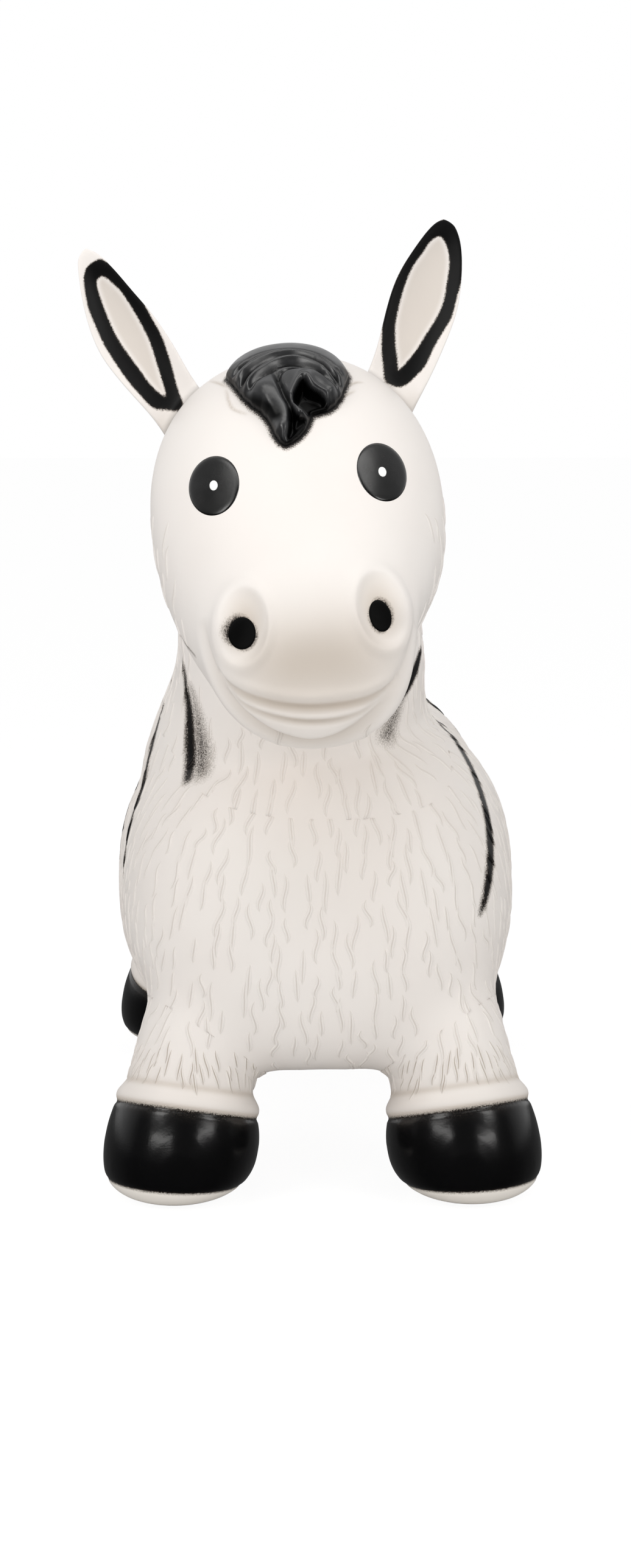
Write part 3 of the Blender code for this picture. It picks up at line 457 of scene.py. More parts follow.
# %% [markdown]
# ## One skin over all the forms
# The real skin is cast in one piece, so the forms must flow into each other without a line. They are
# turned into one closed net of small squares, and the net is relaxed until the creases between them
# are as soft as the mould's. Joining with a boolean would keep hard creases. The front of the head
# and the legs, where the moulded detail is, then get a net twice as fine.

# %% Nostril mounds
NOSTRIL_X_SHARE, NOSTRIL_Z_SHARE, NOSTRIL_SKEW = 0.430, 0.331, 0.0012
NOSTRIL_MOUND, NOSTRIL_MOUND_Y_SHARE = 0.036, 0.107


def nostril_at(side):
    """Middle of a nostril. The left one sits a little higher, as on the toy."""
    place = on_head(side * NOSTRIL_X_SHARE, NOSTRIL_MOUND_Y_SHARE, NOSTRIL_Z_SHARE)
    return place + UP * side * NOSTRIL_SKEW


def nostril_mound(side):
    work = bmesh.new()
    place = HEAD_POSE @ Matrix.Translation(nostril_at(side))
    bmesh.ops.create_icosphere(work, subdivisions=4, radius=NOSTRIL_MOUND / 2.0, matrix=place)
    return work


# %% Join and relax
SKIN_VOXEL = 0.0025
SKIN_RELAX_COUNT = 48
RELAX_FACTOR = 0.5


def fused(name, forms):
    """One closed skin over forms that run into each other."""
    together = bmesh.new()
    for form in forms:
        together.from_mesh(to_mesh(form, "form"))
    item = new_object(name, to_mesh(together, name))
    step = item.modifiers.new("net", "REMESH")
    step.mode = "VOXEL"
    step.voxel_size = SKIN_VOXEL
    step = item.modifiers.new("relax", "SMOOTH")
    step.factor = RELAX_FACTOR
    step.iterations = SKIN_RELAX_COUNT
    return evaluated(item, name)


whole_forms = [torso_form(), neck_form(), head_form()]
whole_forms += [nostril_mound(side) for hand, side in HANDS]
whole_forms += [leg_form(*place[1:]) for place in LEG_PLACES]
skin_mesh = fused("skin", whole_forms)
print("skin has", len(skin_mesh.polygons), "faces")

# %% Soften where the front legs join
# The top of each front leg runs into the chest without a step, so that zone is relaxed far more.
# Its box is from low to high in metres, along x on both sides, y and z
JOIN_BOX = ((0.014, 0.150), (-0.230, -0.060), (0.060, 0.165))
JOIN_MARGINS = (0.000, 0.006, 0.012, 0.018)
JOIN_RELAX_COUNT = 26


def relax(work, verts, count):
    for turn in range(count):
        bmesh.ops.smooth_vert(
            work, verts=verts, factor=RELAX_FACTOR, use_axis_x=True, use_axis_y=True, use_axis_z=True)


def in_join_zone(point, margin):
    places = (abs(point.x), point.y, point.z)
    return all(low + margin < value < high - margin for value, (low, high) in zip(places, JOIN_BOX))


work = opened(skin_mesh)
for margin in JOIN_MARGINS:
    zone = [vert for vert in work.verts if in_join_zone(vert.co, margin)]
    relax(work, zone, JOIN_RELAX_COUNT)
put_back(work, skin_mesh)
print("softened", len(zone), "points beside the front legs")

# %% Small shifts of the form
# The belly rises a little between the front legs, most at its lowest
ARCH_LIFT, ARCH_HALF_WIDTH, ARCH_LOW_Z, ARCH_FADE, ARCH_REAR_Y = 0.0050, 0.034, 0.06, 0.04, 0.02
# Place, reach and shift in metres, where the photograph's outline departs from the plain forms: the
# jaw and the neck on the animal's left, and the side of the chest above its right front leg
SHIFTS = (
    (Vector((0.054, -0.205, 0.330)), Vector((0.030, 0.042, 0.034)), Vector((-0.0100, 0.0, 0.0))),
    (Vector((0.054, -0.100, 0.318)), Vector((0.030, 0.048, 0.030)), Vector((0.0065, 0.0, 0.0))),
    (Vector((-0.118, -0.115, 0.120)), Vector((0.030, 0.060, 0.018)), Vector((0.0035, 0.0, 0.0))),
)
# Beyond three times its reach, a shift is too small to count
SHIFT_END = 9.0
work = opened(skin_mesh)
for vert in work.verts:
    if vert.co.z < ARCH_LOW_Z + ARCH_FADE and vert.co.y < ARCH_REAR_Y:
        middle = math.exp(-((vert.co.x / ARCH_HALF_WIDTH) ** 2))
        vert.co.z += ARCH_LIFT * middle * max(1.0 - (vert.co.z - ARCH_LOW_Z) / ARCH_FADE, 0.0)
for place, reach, shift in SHIFTS:
    for vert in work.verts:
        away = vert.co - place
        share = sum((away[axis] / reach[axis]) ** 2 for axis in range(3))
        if share < SHIFT_END:
            vert.co += shift * math.exp(-share)
put_back(work, skin_mesh)
print("shifted", len(SHIFTS), "places and the belly")

# %% Finer net on the head and legs
FINE_HEAD_START = 0.030
FINE_HEAD_REAR = -0.100
FINE_LEG_HEIGHT, FINE_LEG_X = 0.078, 0.028
FINE_RELAX_COUNT = 4


def in_fine_zone(point):
    if point.z < FINE_LEG_HEIGHT and abs(point.x) > FINE_LEG_X:
        return True
    ahead = point.y < FINE_HEAD_REAR and point.z > HEAD_CHIN_Z
    return ahead and (point - NECK_MIDDLE).dot(NECK_AXIS) > FINE_HEAD_START


work = opened(skin_mesh)
fine = {vert for vert in work.verts if in_fine_zone(vert.co)}
fine_edges = [edge for edge in work.edges if edge.verts[0] in fine and edge.verts[1] in fine]
bmesh.ops.subdivide_edges(work, edges=fine_edges, cuts=1, use_grid_fill=True)
relax(work, [vert for vert in work.verts if in_fine_zone(vert.co)], FINE_RELAX_COUNT)
put_back(work, skin_mesh)
print("finer skin has", len(skin_mesh.polygons), "faces")

# %% Arrays of the skin
smooth_skin = tree_of(skin_mesh)
skin_places = places_of(skin_mesh)
skin_facings = facings_of(skin_mesh)
to_head = np.array(HEAD_POSE.inverted())
head_places = skin_places @ to_head[:3, :3].T + to_head[:3, 3]
print("skin points", len(skin_places))

# %% [markdown]
# ## Moulded detail
# Nostrils sit in shallow oval dents with a rim, the mouth is two grooves with a lip between them, and
# a rounded rim ends each leg above its hoof. All of these are in the mould, so here each one is a
# push along the skin's own facing, and a distance to a line or a point decides how far. Lines that
# the photograph shows are kept as a few of its pixels, and a ray through each finds the skin.

# %% Distances
def path_distance(points, path):
    """Distance of each point from a line through places, and the share along it."""
    nearest = np.full(len(points), np.inf)
    shares = np.zeros(len(points))
    steps = [np.array(place) for place in path]
    for index, (start, end) in enumerate(zip(steps, steps[1:])):
        along = end - start
        t = np.clip((points - start) @ along / max(along @ along, 1e-12), 0.0, 1.0)
        gap = np.linalg.norm(points - start - t[:, None] * along, axis=1)
        closer = gap < nearest
        nearest[closer] = gap[closer]
        shares[closer] = (index + t[closer]) / (len(steps) - 1)
    return nearest, shares


def hump(values, width):
    """A smooth bump that is 1 at zero and is gone at about twice the width."""
    return np.exp(-(values / width) ** 2)


def ramp(values, start, end):
    """0 before the start, 1 after the end, and smooth between them."""
    t = np.clip((values - start) / (end - start), 0.0, 1.0)
    return t * t * (3.0 - 2.0 * t)


def photo_path(pixels, surface=smooth_skin, start_y=None):
    """Places on the skin along a smooth line through pixels of the photograph."""
    rows = eased_rows([(float(u), float(v)) for u, v in pixels], 5)
    return [seen(u, v, surface, start_y)[0] for u, v in rows]


def waxing(shares, power):
    """1 along the middle of a line and 0 at both of its ends."""
    return np.sin(np.pi * np.clip(shares, 0.0, 1.0)) ** power


# %% Nostrils
# Half width and half height of a dent, the shift of its middle outwards and up, and its lean
NOSTRIL_DENT = (0.0132, 0.0200)
NOSTRIL_DENT_SHIFT = (0.0010, 0.0030)
NOSTRIL_LEAN = 12.0
NOSTRIL_DENT_DEPTH, NOSTRIL_DENT_POWER = 0.0048, 1.3
# The rim stands just outside the dent, in shares of the dent's size
NOSTRIL_RIM_HEIGHT, NOSTRIL_RIM_SHARE, NOSTRIL_RIM_WIDTH = 0.0017, 1.08, 0.20
FAR_SHARE = 9.0
FRONT_LENGTH_SHARE, FRONT_FACING = 0.4, 0.25


def nostril_oval(side, shift_x, shift_z, half_width, half_height):
    """Shares across and up a leaning oval on a nostril's mound, for each point of the skin."""
    at = nostril_at(side)
    dx = head_places[:, 0] - at.x - shift_x
    dz = head_places[:, 2] - at.z - shift_z
    lean = side * math.radians(NOSTRIL_LEAN)
    wide = (dx * math.cos(lean) + dz * math.sin(lean)) / half_width
    tall = (dz * math.cos(lean) - dx * math.sin(lean)) / half_height
    return wide, tall


push = np.zeros(len(skin_places))
nostril_shares = np.full(len(skin_places), FAR_SHARE)
front = head_places[:, 1] < HEAD_MUZZLE_Y + FRONT_LENGTH_SHARE * HEAD_LENGTH
front &= skin_facings[:, 1] < FRONT_FACING
for hand, side in HANDS:
    wide, tall = nostril_oval(side, side * NOSTRIL_DENT_SHIFT[0], NOSTRIL_DENT_SHIFT[1], *NOSTRIL_DENT)
    share = np.where(front, np.hypot(wide, tall), FAR_SHARE)
    nostril_shares = np.minimum(nostril_shares, share)
    push -= NOSTRIL_DENT_DEPTH * np.clip(1.0 - share**2, 0.0, 1.0) ** NOSTRIL_DENT_POWER
    push += NOSTRIL_RIM_HEIGHT * hump(share - NOSTRIL_RIM_SHARE, NOSTRIL_RIM_WIDTH)
print("nostril dents are", NOSTRIL_DENT_DEPTH / MM, "mm deep")

# %% Mouth and the fold round the muzzle
# Pixels of the photograph along the groove under the upper lip, the one under the lower lip, and the
# fold that sets the muzzle off from the cheeks and the neck
UPPER_LIP = (
    (352, 1100), (364, 1119), (388, 1137), (418, 1150), (460, 1160), (509, 1164), (560, 1160),
    (600, 1152), (628, 1140), (652, 1126), (662, 1108),
)
LOWER_LIP = (
    (372, 1138), (397, 1158), (430, 1173), (470, 1183), (512, 1187), (556, 1183), (598, 1170),
    (640, 1146),
)
FOLD = (
    (331, 1020), (336, 1060), (347, 1100), (366, 1140), (395, 1178), (436, 1208), (480, 1224),
    (520, 1227), (560, 1218), (600, 1194), (636, 1156), (662, 1112), (677, 1066), (681, 1026),
)
# Depth and width of each groove, and the lip that swells under the upper one
UPPER_GROOVE, LOWER_GROOVE, FOLD_GROOVE = (0.0030, 0.0028), (0.0025, 0.0020), (0.0056, 0.0062)
LIP_SWELL, LIP_SWELL_GAP, LIP_SWELL_WIDTH = 0.0009, 0.0062, 0.0030
LIP_POWER, FOLD_POWER = 0.5, 0.6
upper_gap, upper_share = path_distance(skin_places, photo_path(UPPER_LIP))
lower_gap, lower_share = path_distance(skin_places, photo_path(LOWER_LIP))
fold_gap, fold_share = path_distance(skin_places, photo_path(FOLD))
upper_fade, lower_fade = waxing(upper_share, LIP_POWER), waxing(lower_share, LIP_POWER)
fold_fade = waxing(fold_share, FOLD_POWER)
push -= UPPER_GROOVE[0] * hump(upper_gap, UPPER_GROOVE[1]) * upper_fade
push += LIP_SWELL * hump(upper_gap - LIP_SWELL_GAP, LIP_SWELL_WIDTH) * upper_fade
push -= LOWER_GROOVE[0] * hump(lower_gap, LOWER_GROOVE[1]) * lower_fade
push -= FOLD_GROOVE[0] * hump(fold_gap, FOLD_GROOVE[1]) * fold_fade
print("deepest groove at the mouth", round(-push.min() / MM, 1), "mm")

# %% Thin hairs engraved beside the forelock
THIN_HAIRS = (
    ((344, 626), (358, 629), (373, 636)),
    ((371, 640), (380, 669), (404, 680)),
    ((556, 660), (566, 650), (582, 642)),
    ((574, 634), (584, 628), (596, 628)),
)
THIN_HAIR_DEPTH, THIN_HAIR_WIDTH = 0.0006, 0.0009
THIN_HAIR_START, THIN_HAIR_SPAN = 0.1, 0.8
thin_cover = np.zeros(len(skin_places))
for pixels in THIN_HAIRS:
    gap, share = path_distance(skin_places, photo_path(pixels))
    fade = np.sin(np.pi * (THIN_HAIR_START + THIN_HAIR_SPAN * share))
    thin_cover = np.maximum(thin_cover, hump(gap, THIN_HAIR_WIDTH) * fade)
push -= THIN_HAIR_DEPTH * thin_cover
print("points under thin hairs", int((thin_cover > 0.5).sum()))

# %% Heights above the rims and the soles
LEG_REACH, LEG_TOP_Z, FAR_HEIGHT = 0.085, 0.10, 1.0
coronet_heights = np.full(len(skin_places), FAR_HEIGHT)
sole_heights = np.full(len(skin_places), FAR_HEIGHT)
LEG_PLANES = {}
for name, side, sole, lean_back, lean_in, tilt in LEG_PLACES:
    axis = leg_axis(side, lean_back, lean_in)
    coronet = sole + axis * CORONET_SHARE * LEG_LENGTH
    coronet_up = leg_axis(side, tilt, lean_in)
    edge = sole + UP * SOLE_EDGE_HEIGHT
    edge_up = leg_axis(side, tilt * SOLE_EDGE_SHARE, lean_in * SOLE_EDGE_SHARE)
    LEG_PLANES[name] = (coronet, coronet_up, edge, edge_up)
    near = np.linalg.norm(skin_places[:, :2] - np.array(sole)[:2], axis=1) < LEG_REACH
    near &= skin_places[:, 2] < LEG_TOP_Z
    heights = (skin_places - np.array(coronet)) @ np.array(coronet_up)
    coronet_heights = np.where(near, heights, coronet_heights)
    heights = (skin_places - np.array(edge)) @ np.array(edge_up)
    sole_heights = np.where(near, heights, sole_heights)
print("planes on", len(LEG_PLANES), "legs")

# %% Rims above the hooves, and the edge of the soles
RIM_HEIGHT, RIM_PROUD = 0.0088, 0.0017
# Each groove round a leg: depth, height from the hoof's top or the sole's edge, and width
GROOVE_UNDER_RIM = (0.0011, -0.0012, 0.0018)
GROOVE_OVER_RIM = (0.0006, RIM_HEIGHT * 1.55, 0.0030)
GROOVE_AT_SOLE = (0.0005, 0.0, 0.0014)
FLOOR_SKIN = 0.0004
push += RIM_PROUD * hump(coronet_heights - RIM_HEIGHT * 0.5, RIM_HEIGHT * 0.52)
for heights, (depth, level, width) in (
    (coronet_heights, GROOVE_UNDER_RIM), (coronet_heights, GROOVE_OVER_RIM), (sole_heights, GROOVE_AT_SOLE),
):
    push -= depth * hump(heights - level, width)
push = np.where(skin_places[:, 2] < FLOOR_SKIN, 0.0, push)
skin_places = skin_places + skin_facings * push[:, None]
skin_places[:, 2] = np.maximum(skin_places[:, 2], 0.0)
skin_mesh.vertices.foreach_set("co", skin_places.reshape(-1))
skin_mesh.update()
skin_facings = facings_of(skin_mesh)
detailed_skin = tree_of(skin_mesh)
print("moulded detail from", round(push.min() / MM, 2), "to", round(push.max() / MM, 2), "mm")

# %% [markdown]
# ## The forelock
# A cap of hair is moulded on the forehead. Long locks sweep over it from one side, a curl closes round
# a hollow, and two points hang down. It is modelled as clay is pressed onto a head: a patch of the
# skin is raised inside an outline, and then ridges, folds and the hollow are worked in along lines
# that the photograph shows. Separate tubes of hair would look stuck on.

# %% Outline of the forelock
# Pixels of the photograph from the left foot, over the top and down the right side to the point
FORELOCK_OUTLINE = (
    (369, 620), (350, 560), (360, 500), (590, 500), (596, 560), (574, 612), (569, 630), (563, 645),
    (558, 657), (550, 668), (539, 676), (524, 680), (513, 683), (508, 695), (502, 708), (491, 720),
    (480, 728), (469, 733), (460, 728), (451, 716), (445, 701), (438, 690), (428, 679), (414, 669),
    (401, 657), (390, 643), (381, 632),
)
# From above, the cap ends in an oval on the crown: its middle in the head's frame and two radii
FORELOCK_BACK = (Vector((-0.0010, -0.186, 0.0)), 0.0350, 0.046)
PIXELS_PER_MM = 2.75


def inside_shape(pixels, outline):
    """Distance in pixels to an outline, positive inside it."""
    corners = [np.array(corner, float) for corner in outline]
    gap = path_distance(pixels, corners + corners[:1])[0]
    odd = np.zeros(len(pixels), bool)
    for start, end in zip(corners, corners[1:] + corners[:1]):
        crosses = (start[1] > pixels[:, 1]) != (end[1] > pixels[:, 1])
        at = (end[0] - start[0]) * (pixels[:, 1] - start[1]) / (end[1] - start[1] + 1e-9) + start[0]
        odd ^= crosses & (pixels[:, 0] < at)
    return np.where(odd, gap, -gap)


def closed_curve(corners, steps=4):
    """A smooth closed line through corners."""
    rows = [tuple(map(float, corner)) for corner in corners]
    turned_rows = eased_rows([rows[-1], *rows, rows[0], rows[1]], steps)
    return turned_rows[steps:-steps - 1]


def within_forelock(places):
    """Distance in metres inside the outline of the forelock."""
    local = places @ to_head[:3, :3].T + to_head[:3, 3]
    seen_inside = inside_shape(on_photo(places), FORELOCK_OUTLINE) / PIXELS_PER_MM * MM
    middle, wide, long = FORELOCK_BACK
    share = np.hypot((local[:, 0] - middle.x) / wide, (local[:, 1] - middle.y) / long)
    return np.minimum(seen_inside, (1.0 - share) * wide)


# %% Cut the patch out of the skin
# The forehead in the head's frame, in metres and as a share of the head's depth
PATCH_HALF_WIDTH, PATCH_FRONT, PATCH_REAR, PATCH_LOW_SHARE = 0.052, -0.250, -0.112, 0.62
PATCH_RELAX_COUNT = 3
PATCH_MARGIN = 0.0016
patch = opened(skin_mesh)
head_turned = HEAD_POSE.inverted()
away = []
for face in patch.faces:
    at = head_turned @ face.calc_center_median()
    high = at.z > HEAD_CHIN_Z + PATCH_LOW_SHARE * HEAD_DEPTH
    if not (high and abs(at.x) < PATCH_HALF_WIDTH and PATCH_FRONT < at.y < PATCH_REAR):
        away.append(face)
bmesh.ops.delete(patch, geom=away, context="FACES")
bmesh.ops.subdivide_edges(patch, edges=patch.edges[:], cuts=1, use_grid_fill=True)
relax(patch, [vert for vert in patch.verts if not vert.is_boundary], PATCH_RELAX_COUNT)
deep = within_forelock(np.array([vert.co[:] for vert in patch.verts]))
outside = [vert for vert, inside in zip(list(patch.verts), deep) if inside < -PATCH_MARGIN]
bmesh.ops.delete(patch, geom=outside, context="VERTS")
patch.verts.index_update()
patch_mesh = bpy.data.meshes.new("patch")
patch.to_mesh(patch_mesh)
print("forelock patch has", len(patch_mesh.polygons), "faces")

# %% Raise the patch
# Height in mm of the hair above the skin, at rows of pixels down the photograph
FORELOCK_HEIGHTS = (
    (560, 7.8), (600, 8.6), (630, 9.5), (660, 9.5), (690, 9.5), (715, 9.0), (735, 8.0),
)
# How far in from its outline the hair reaches its full height, and how deep it starts
FORELOCK_EDGE, FORELOCK_FOOT = 0.0150, 0.0008
base_places, base_facings = places_of(patch_mesh), facings_of(patch_mesh)
deep = within_forelock(base_places)
rows = np.array(FORELOCK_HEIGHTS)
full = np.interp(on_photo(base_places)[:, 1], rows[:, 0], rows[:, 1]) * MM
round_off = np.clip(1.0 - np.clip(deep, 0.0, FORELOCK_EDGE) / FORELOCK_EDGE, 0.0, 1.0)
lift = full * np.sqrt(np.clip(1.0 - round_off**2.0, 0.0, 1.0))
lift = np.where(deep < 0.0, -FORELOCK_FOOT, lift)
hair_places = base_places + base_facings * lift[:, None]
patch_mesh.vertices.foreach_set("co", hair_places.reshape(-1))
patch_mesh.update()
hair_base = tree_of(patch_mesh)
print("hair stands up to", round(lift.max() / MM, 1), "mm above the skin")

# %% Lines of the hair
# Ridges and folds as pixels of the photograph, with a height in mm and a width in mm
HAIR_LINES = (
    (((376, 630), (388, 608), (410, 590), (440, 578), (478, 574), (512, 580), (540, 594), (562, 614)),
     -2.8, 1.5),
    (((384, 636), (396, 614), (416, 596), (446, 583), (480, 579), (512, 586), (538, 600), (562, 624)),
     2.3, 1.9),
    (((392, 642), (404, 618), (424, 601), (452, 588), (482, 584), (510, 591), (536, 605), (560, 634)),
     -4.0, 1.5),
    (((400, 646), (411, 624), (430, 607), (456, 594), (484, 590), (510, 596), (534, 610), (557, 642)),
     2.8, 2.0),
    (((412, 640), (422, 624), (438, 612), (458, 601), (484, 598), (508, 602), (528, 612)), -3.2, 1.4),
    (((457, 620), (464, 609), (478, 604), (500, 604), (524, 611), (541, 623), (552, 638), (555, 652)),
     -2.8, 0.9),
    (((452, 612), (459, 630), (466, 645), (475, 660), (478, 680), (476, 705), (470, 728)), -4.2, 1.7),
    (((486, 652), (497, 664), (507, 678), (508, 690)), -1.2, 1.2),
)
# Rounded masses: a pixel at the middle, a height in mm and a radius in mm
HAIR_MASSES = (
    ((432, 642), 3.6, 8.5), ((440, 666), 1.8, 6.0), ((508, 618), 2.6, 7.5), ((545, 642), 2.2, 4.5),
    ((458, 702), 1.4, 4.0), ((495, 682), 2.0, 3.4), ((530, 664), 1.0, 4.0),
)
# A line keeps most of its height up to its ends
HAIR_LINE_START, HAIR_LINE_SPAN, HAIR_LINE_POWER = 0.03, 0.94, 0.35
push = np.zeros(len(hair_places))
for pixel, height, width in HAIR_MASSES:
    middle = np.array(seen(*pixel, hair_base)[0])
    push += height * MM * hump(np.linalg.norm(hair_places - middle, axis=1), width * MM)
for pixels, height, width in HAIR_LINES:
    gap, share = path_distance(hair_places, photo_path(pixels, hair_base))
    fade = waxing(share * HAIR_LINE_SPAN + HAIR_LINE_START, HAIR_LINE_POWER)
    push += height * MM * hump(gap, width * MM) * fade
print("lines in the hair", len(HAIR_LINES), "and masses", len(HAIR_MASSES))

# %% The hollow and the wedge
# Outlines as pixels, with depths in metres. The hollow is the dark middle of the curl, the wedge is
# the gap between the two hanging points, and the shaded lock low on the left gets painted shade
HOLLOW = (
    (496, 622), (511, 636), (529, 648), (537, 662), (538, 676), (526, 683), (508, 683), (494, 670),
    (481, 652),
)
WEDGE = (
    (478, 664), (487, 678), (503, 690), (497, 708), (482, 722), (470, 730), (474, 700), (477, 680),
)
SHADED_LOCK = ((410, 652), (432, 656), (456, 668), (462, 682), (446, 690), (428, 676), (412, 664))
HOLLOW_DEPTH, WEDGE_DEPTH = 0.0085, 0.0045
# A brow round the hollow: height in metres, and distance and width in mm
HOLLOW_BROW, HOLLOW_BROW_GAP, HOLLOW_BROW_WIDTH = 0.0011, 1.8, 1.5
DETAIL_MARGIN, LEAST_HAIR, LEAST_HAIR_MARGIN = 0.0045, 0.0006, 0.001


def inside_mm(shape, pixels):
    """Distance in mm to a shape drawn on the photograph, positive inside it."""
    return inside_shape(pixels, closed_curve(shape)) / PIXELS_PER_MM


hair_pixels = on_photo(hair_places)
hollow = inside_mm(HOLLOW, hair_pixels)
push -= HOLLOW_DEPTH * ramp(hollow, -0.9, 2.6)
push += HOLLOW_BROW * hump(hollow + HOLLOW_BROW_GAP, HOLLOW_BROW_WIDTH)
push -= WEDGE_DEPTH * ramp(inside_mm(WEDGE, hair_pixels), -0.6, 1.8)
push *= ramp(deep, 0.0, DETAIL_MARGIN)
hair_places = hair_places + base_facings * push[:, None]
too_low = (lift + push < LEAST_HAIR)[:, None] & (deep > LEAST_HAIR_MARGIN)[:, None]
hair_places = np.where(too_low, base_places + base_facings * LEAST_HAIR, hair_places)
print("hair pushed from", round(push.min() / MM, 1), "to", round(push.max() / MM, 1), "mm")

# %% Painted shade in the hair
# Painted shade darkens the ink in the hollow, the wedge, the folds, on the shaded lock and at the
# edge of the hair, where less light reaches
hair_pixels = on_photo(hair_places)
painted_hair_shade = np.maximum.reduce([
    ramp(inside_mm(HOLLOW, hair_pixels), -0.6, 0.6),
    ramp(inside_mm(WEDGE, hair_pixels), -0.4, 0.5),
    0.9 * ramp(inside_mm(SHADED_LOCK, hair_pixels), -2.5, 2.0),
    0.75 * ramp(-push, 0.0006, 0.0026),
    0.8 * (1.0 - ramp(deep, 0.0004, 0.0030)),
])
print("points under painted shade", int((painted_hair_shade > 0.5).sum()))

# %% Close the forelock underneath
FORELOCK_SINK = 0.0030
HAIR_RELAX_COUNT, HAIR_RELAX_MARGIN = 2, 0.0015
count = len(hair_places)
# The last of the voxel steps goes, so that each ridge runs clean
ends = np.array([[vert.index for vert in edge.verts] for edge in patch.edges])
for turn in range(HAIR_RELAX_COUNT):
    sums, links = np.zeros_like(hair_places), np.zeros(count)
    for one, other in ((0, 1), (1, 0)):
        np.add.at(sums, ends[:, one], hair_places[ends[:, other]])
        np.add.at(links, ends[:, one], 1.0)
    relaxed = 0.5 * hair_places + 0.5 * sums / links[:, None]
    hair_places = np.where((deep > HAIR_RELAX_MARGIN)[:, None], relaxed, hair_places)
under = base_places - base_facings * FORELOCK_SINK
top_faces = [tuple(vert.index for vert in face.verts) for face in patch.faces]
faces = top_faces + [tuple(count + index for index in reversed(face)) for face in top_faces]
for edge in patch.edges:
    if edge.is_boundary:
        loop = edge.link_loops[0]
        first, second = loop.vert.index, loop.link_loop_next.vert.index
        faces.append((second, first, count + first, count + second))
patch.free()
forelock_mesh = bpy.data.meshes.new("forelock")
forelock_mesh.from_pydata(np.concatenate([hair_places, under]).tolist(), [], faces)
forelock_mesh.update()
keep_on(forelock_mesh, "hair_shade", np.concatenate([painted_hair_shade, np.ones(count)]))
print("forelock has", len(forelock_mesh.polygons), "faces")

# %% [markdown]
# ## Where the paint is
# The hooves, stripes and the rings in the ears are sprayed black through masks, so their edges are
# soft and speckled. How much paint each point of the skin has is kept on the mesh, from its distance
# to the mask's edge. The grain of the spray is added later by the material. A painted image would
# need a flat map of the whole skin, and this does not.
# Painted shade in the hollows and low on the body is kept on the mesh in the same way.

# %% Spray round the nostrils
# Height of the print, and for each side its shift from the middle of the mound and its width
NOSTRIL_HEIGHT = 0.0168
NOSTRIL_PRINTS = {"right": (-0.0019, -0.0008, 0.0142), "left": (0.0001, 0.0, 0.0114)}
# The spray starts at the print's edge. It reaches farther and is stronger on the outer side
SPRAY_START, SPRAY_REACH, SPRAY_REACH_OUT = 0.96, 1.28, 0.62
SPRAY_STRENGTH, SPRAY_STRENGTH_OUT, SPRAY_RISE = 0.48, 0.36, 0.5
nostril_spray = np.zeros(len(skin_places))
for hand, side in HANDS:
    shift_x, shift_z, width = NOSTRIL_PRINTS[hand]
    wide, tall = nostril_oval(side, shift_x, shift_z, width / 2.0, NOSTRIL_HEIGHT / 2.0)
    share = np.hypot(wide, tall)
    outer = np.clip((side * wide + SPRAY_RISE * tall) / np.maximum(share, 0.1), 0.0, 1.0)
    spray = 1.0 - ramp(share, SPRAY_START, SPRAY_REACH + SPRAY_REACH_OUT * outer)
    spray *= SPRAY_STRENGTH + SPRAY_STRENGTH_OUT * outer
    nostril_spray = np.maximum(nostril_spray, np.where(front, spray, 0.0))
print("points sprayed round the nostrils", int((nostril_spray > 0.1).sum()))

# %% Stripes that the photograph shows
# Each: pixels with half the width of the stripe in mm, the softness of its edge in mm, its strength,
# and where the ray starts, for places that the jaw hides
BEHIND_JAW_Y = -0.165
SHOWN_STRIPES = (
    (((301, 1090), 1.0), ((306, 1130), 2.8), ((311, 1170), 4.0), ((313, 1215), 4.6), ((313, 1250), 4.6),
     ((309, 1278), 3.0), 6.0, 0.95, None),
    (((314, 1130), 1.0), ((324, 1175), 4.0), ((331, 1228), 7.0), ((330, 1262), 7.0), 10.0, 0.56, None),
    (((298, 1046), 0.6), ((306, 1060), 1.2), ((321, 1078), 0.6), 2.6, 0.60, None),
    (((690, 1072), 3.4), ((684, 1094), 5.0), ((674, 1118), 5.0), ((661, 1142), 3.0),
     3.8, 0.92, BEHIND_JAW_Y),
    (((661, 1142), 3.0), ((648, 1174), 5.5), ((636, 1204), 6.0), 10.0, 0.55, BEHIND_JAW_Y),
)
# In front of the ray's start a stripe fades out over a few millimetres
HIDDEN_FADE = (-0.010, 0.002)


def stripe_cover(path, widths, softness):
    """How much paint a stripe lays on each point of the skin."""
    gap, share = path_distance(skin_places, path)
    stops = np.linspace(0.0, 1.0, len(widths))
    half = np.interp(share, stops, widths) * MM
    return 1.0 - ramp(gap - half, -softness * MM, softness * MM)


paint = np.zeros(len(skin_places))
for *rows, softness, strength, start_y in SHOWN_STRIPES:
    pixels, widths = zip(*rows)
    cover = stripe_cover(photo_path(pixels, detailed_skin, start_y), widths, softness)
    if start_y is not None:
        cover *= ramp(skin_places[:, 1], start_y + HIDDEN_FADE[0], start_y + HIDDEN_FADE[1])
    paint = np.maximum(paint, strength * cover)
print("points under the neck's stripes", int((paint > 0.5).sum()))

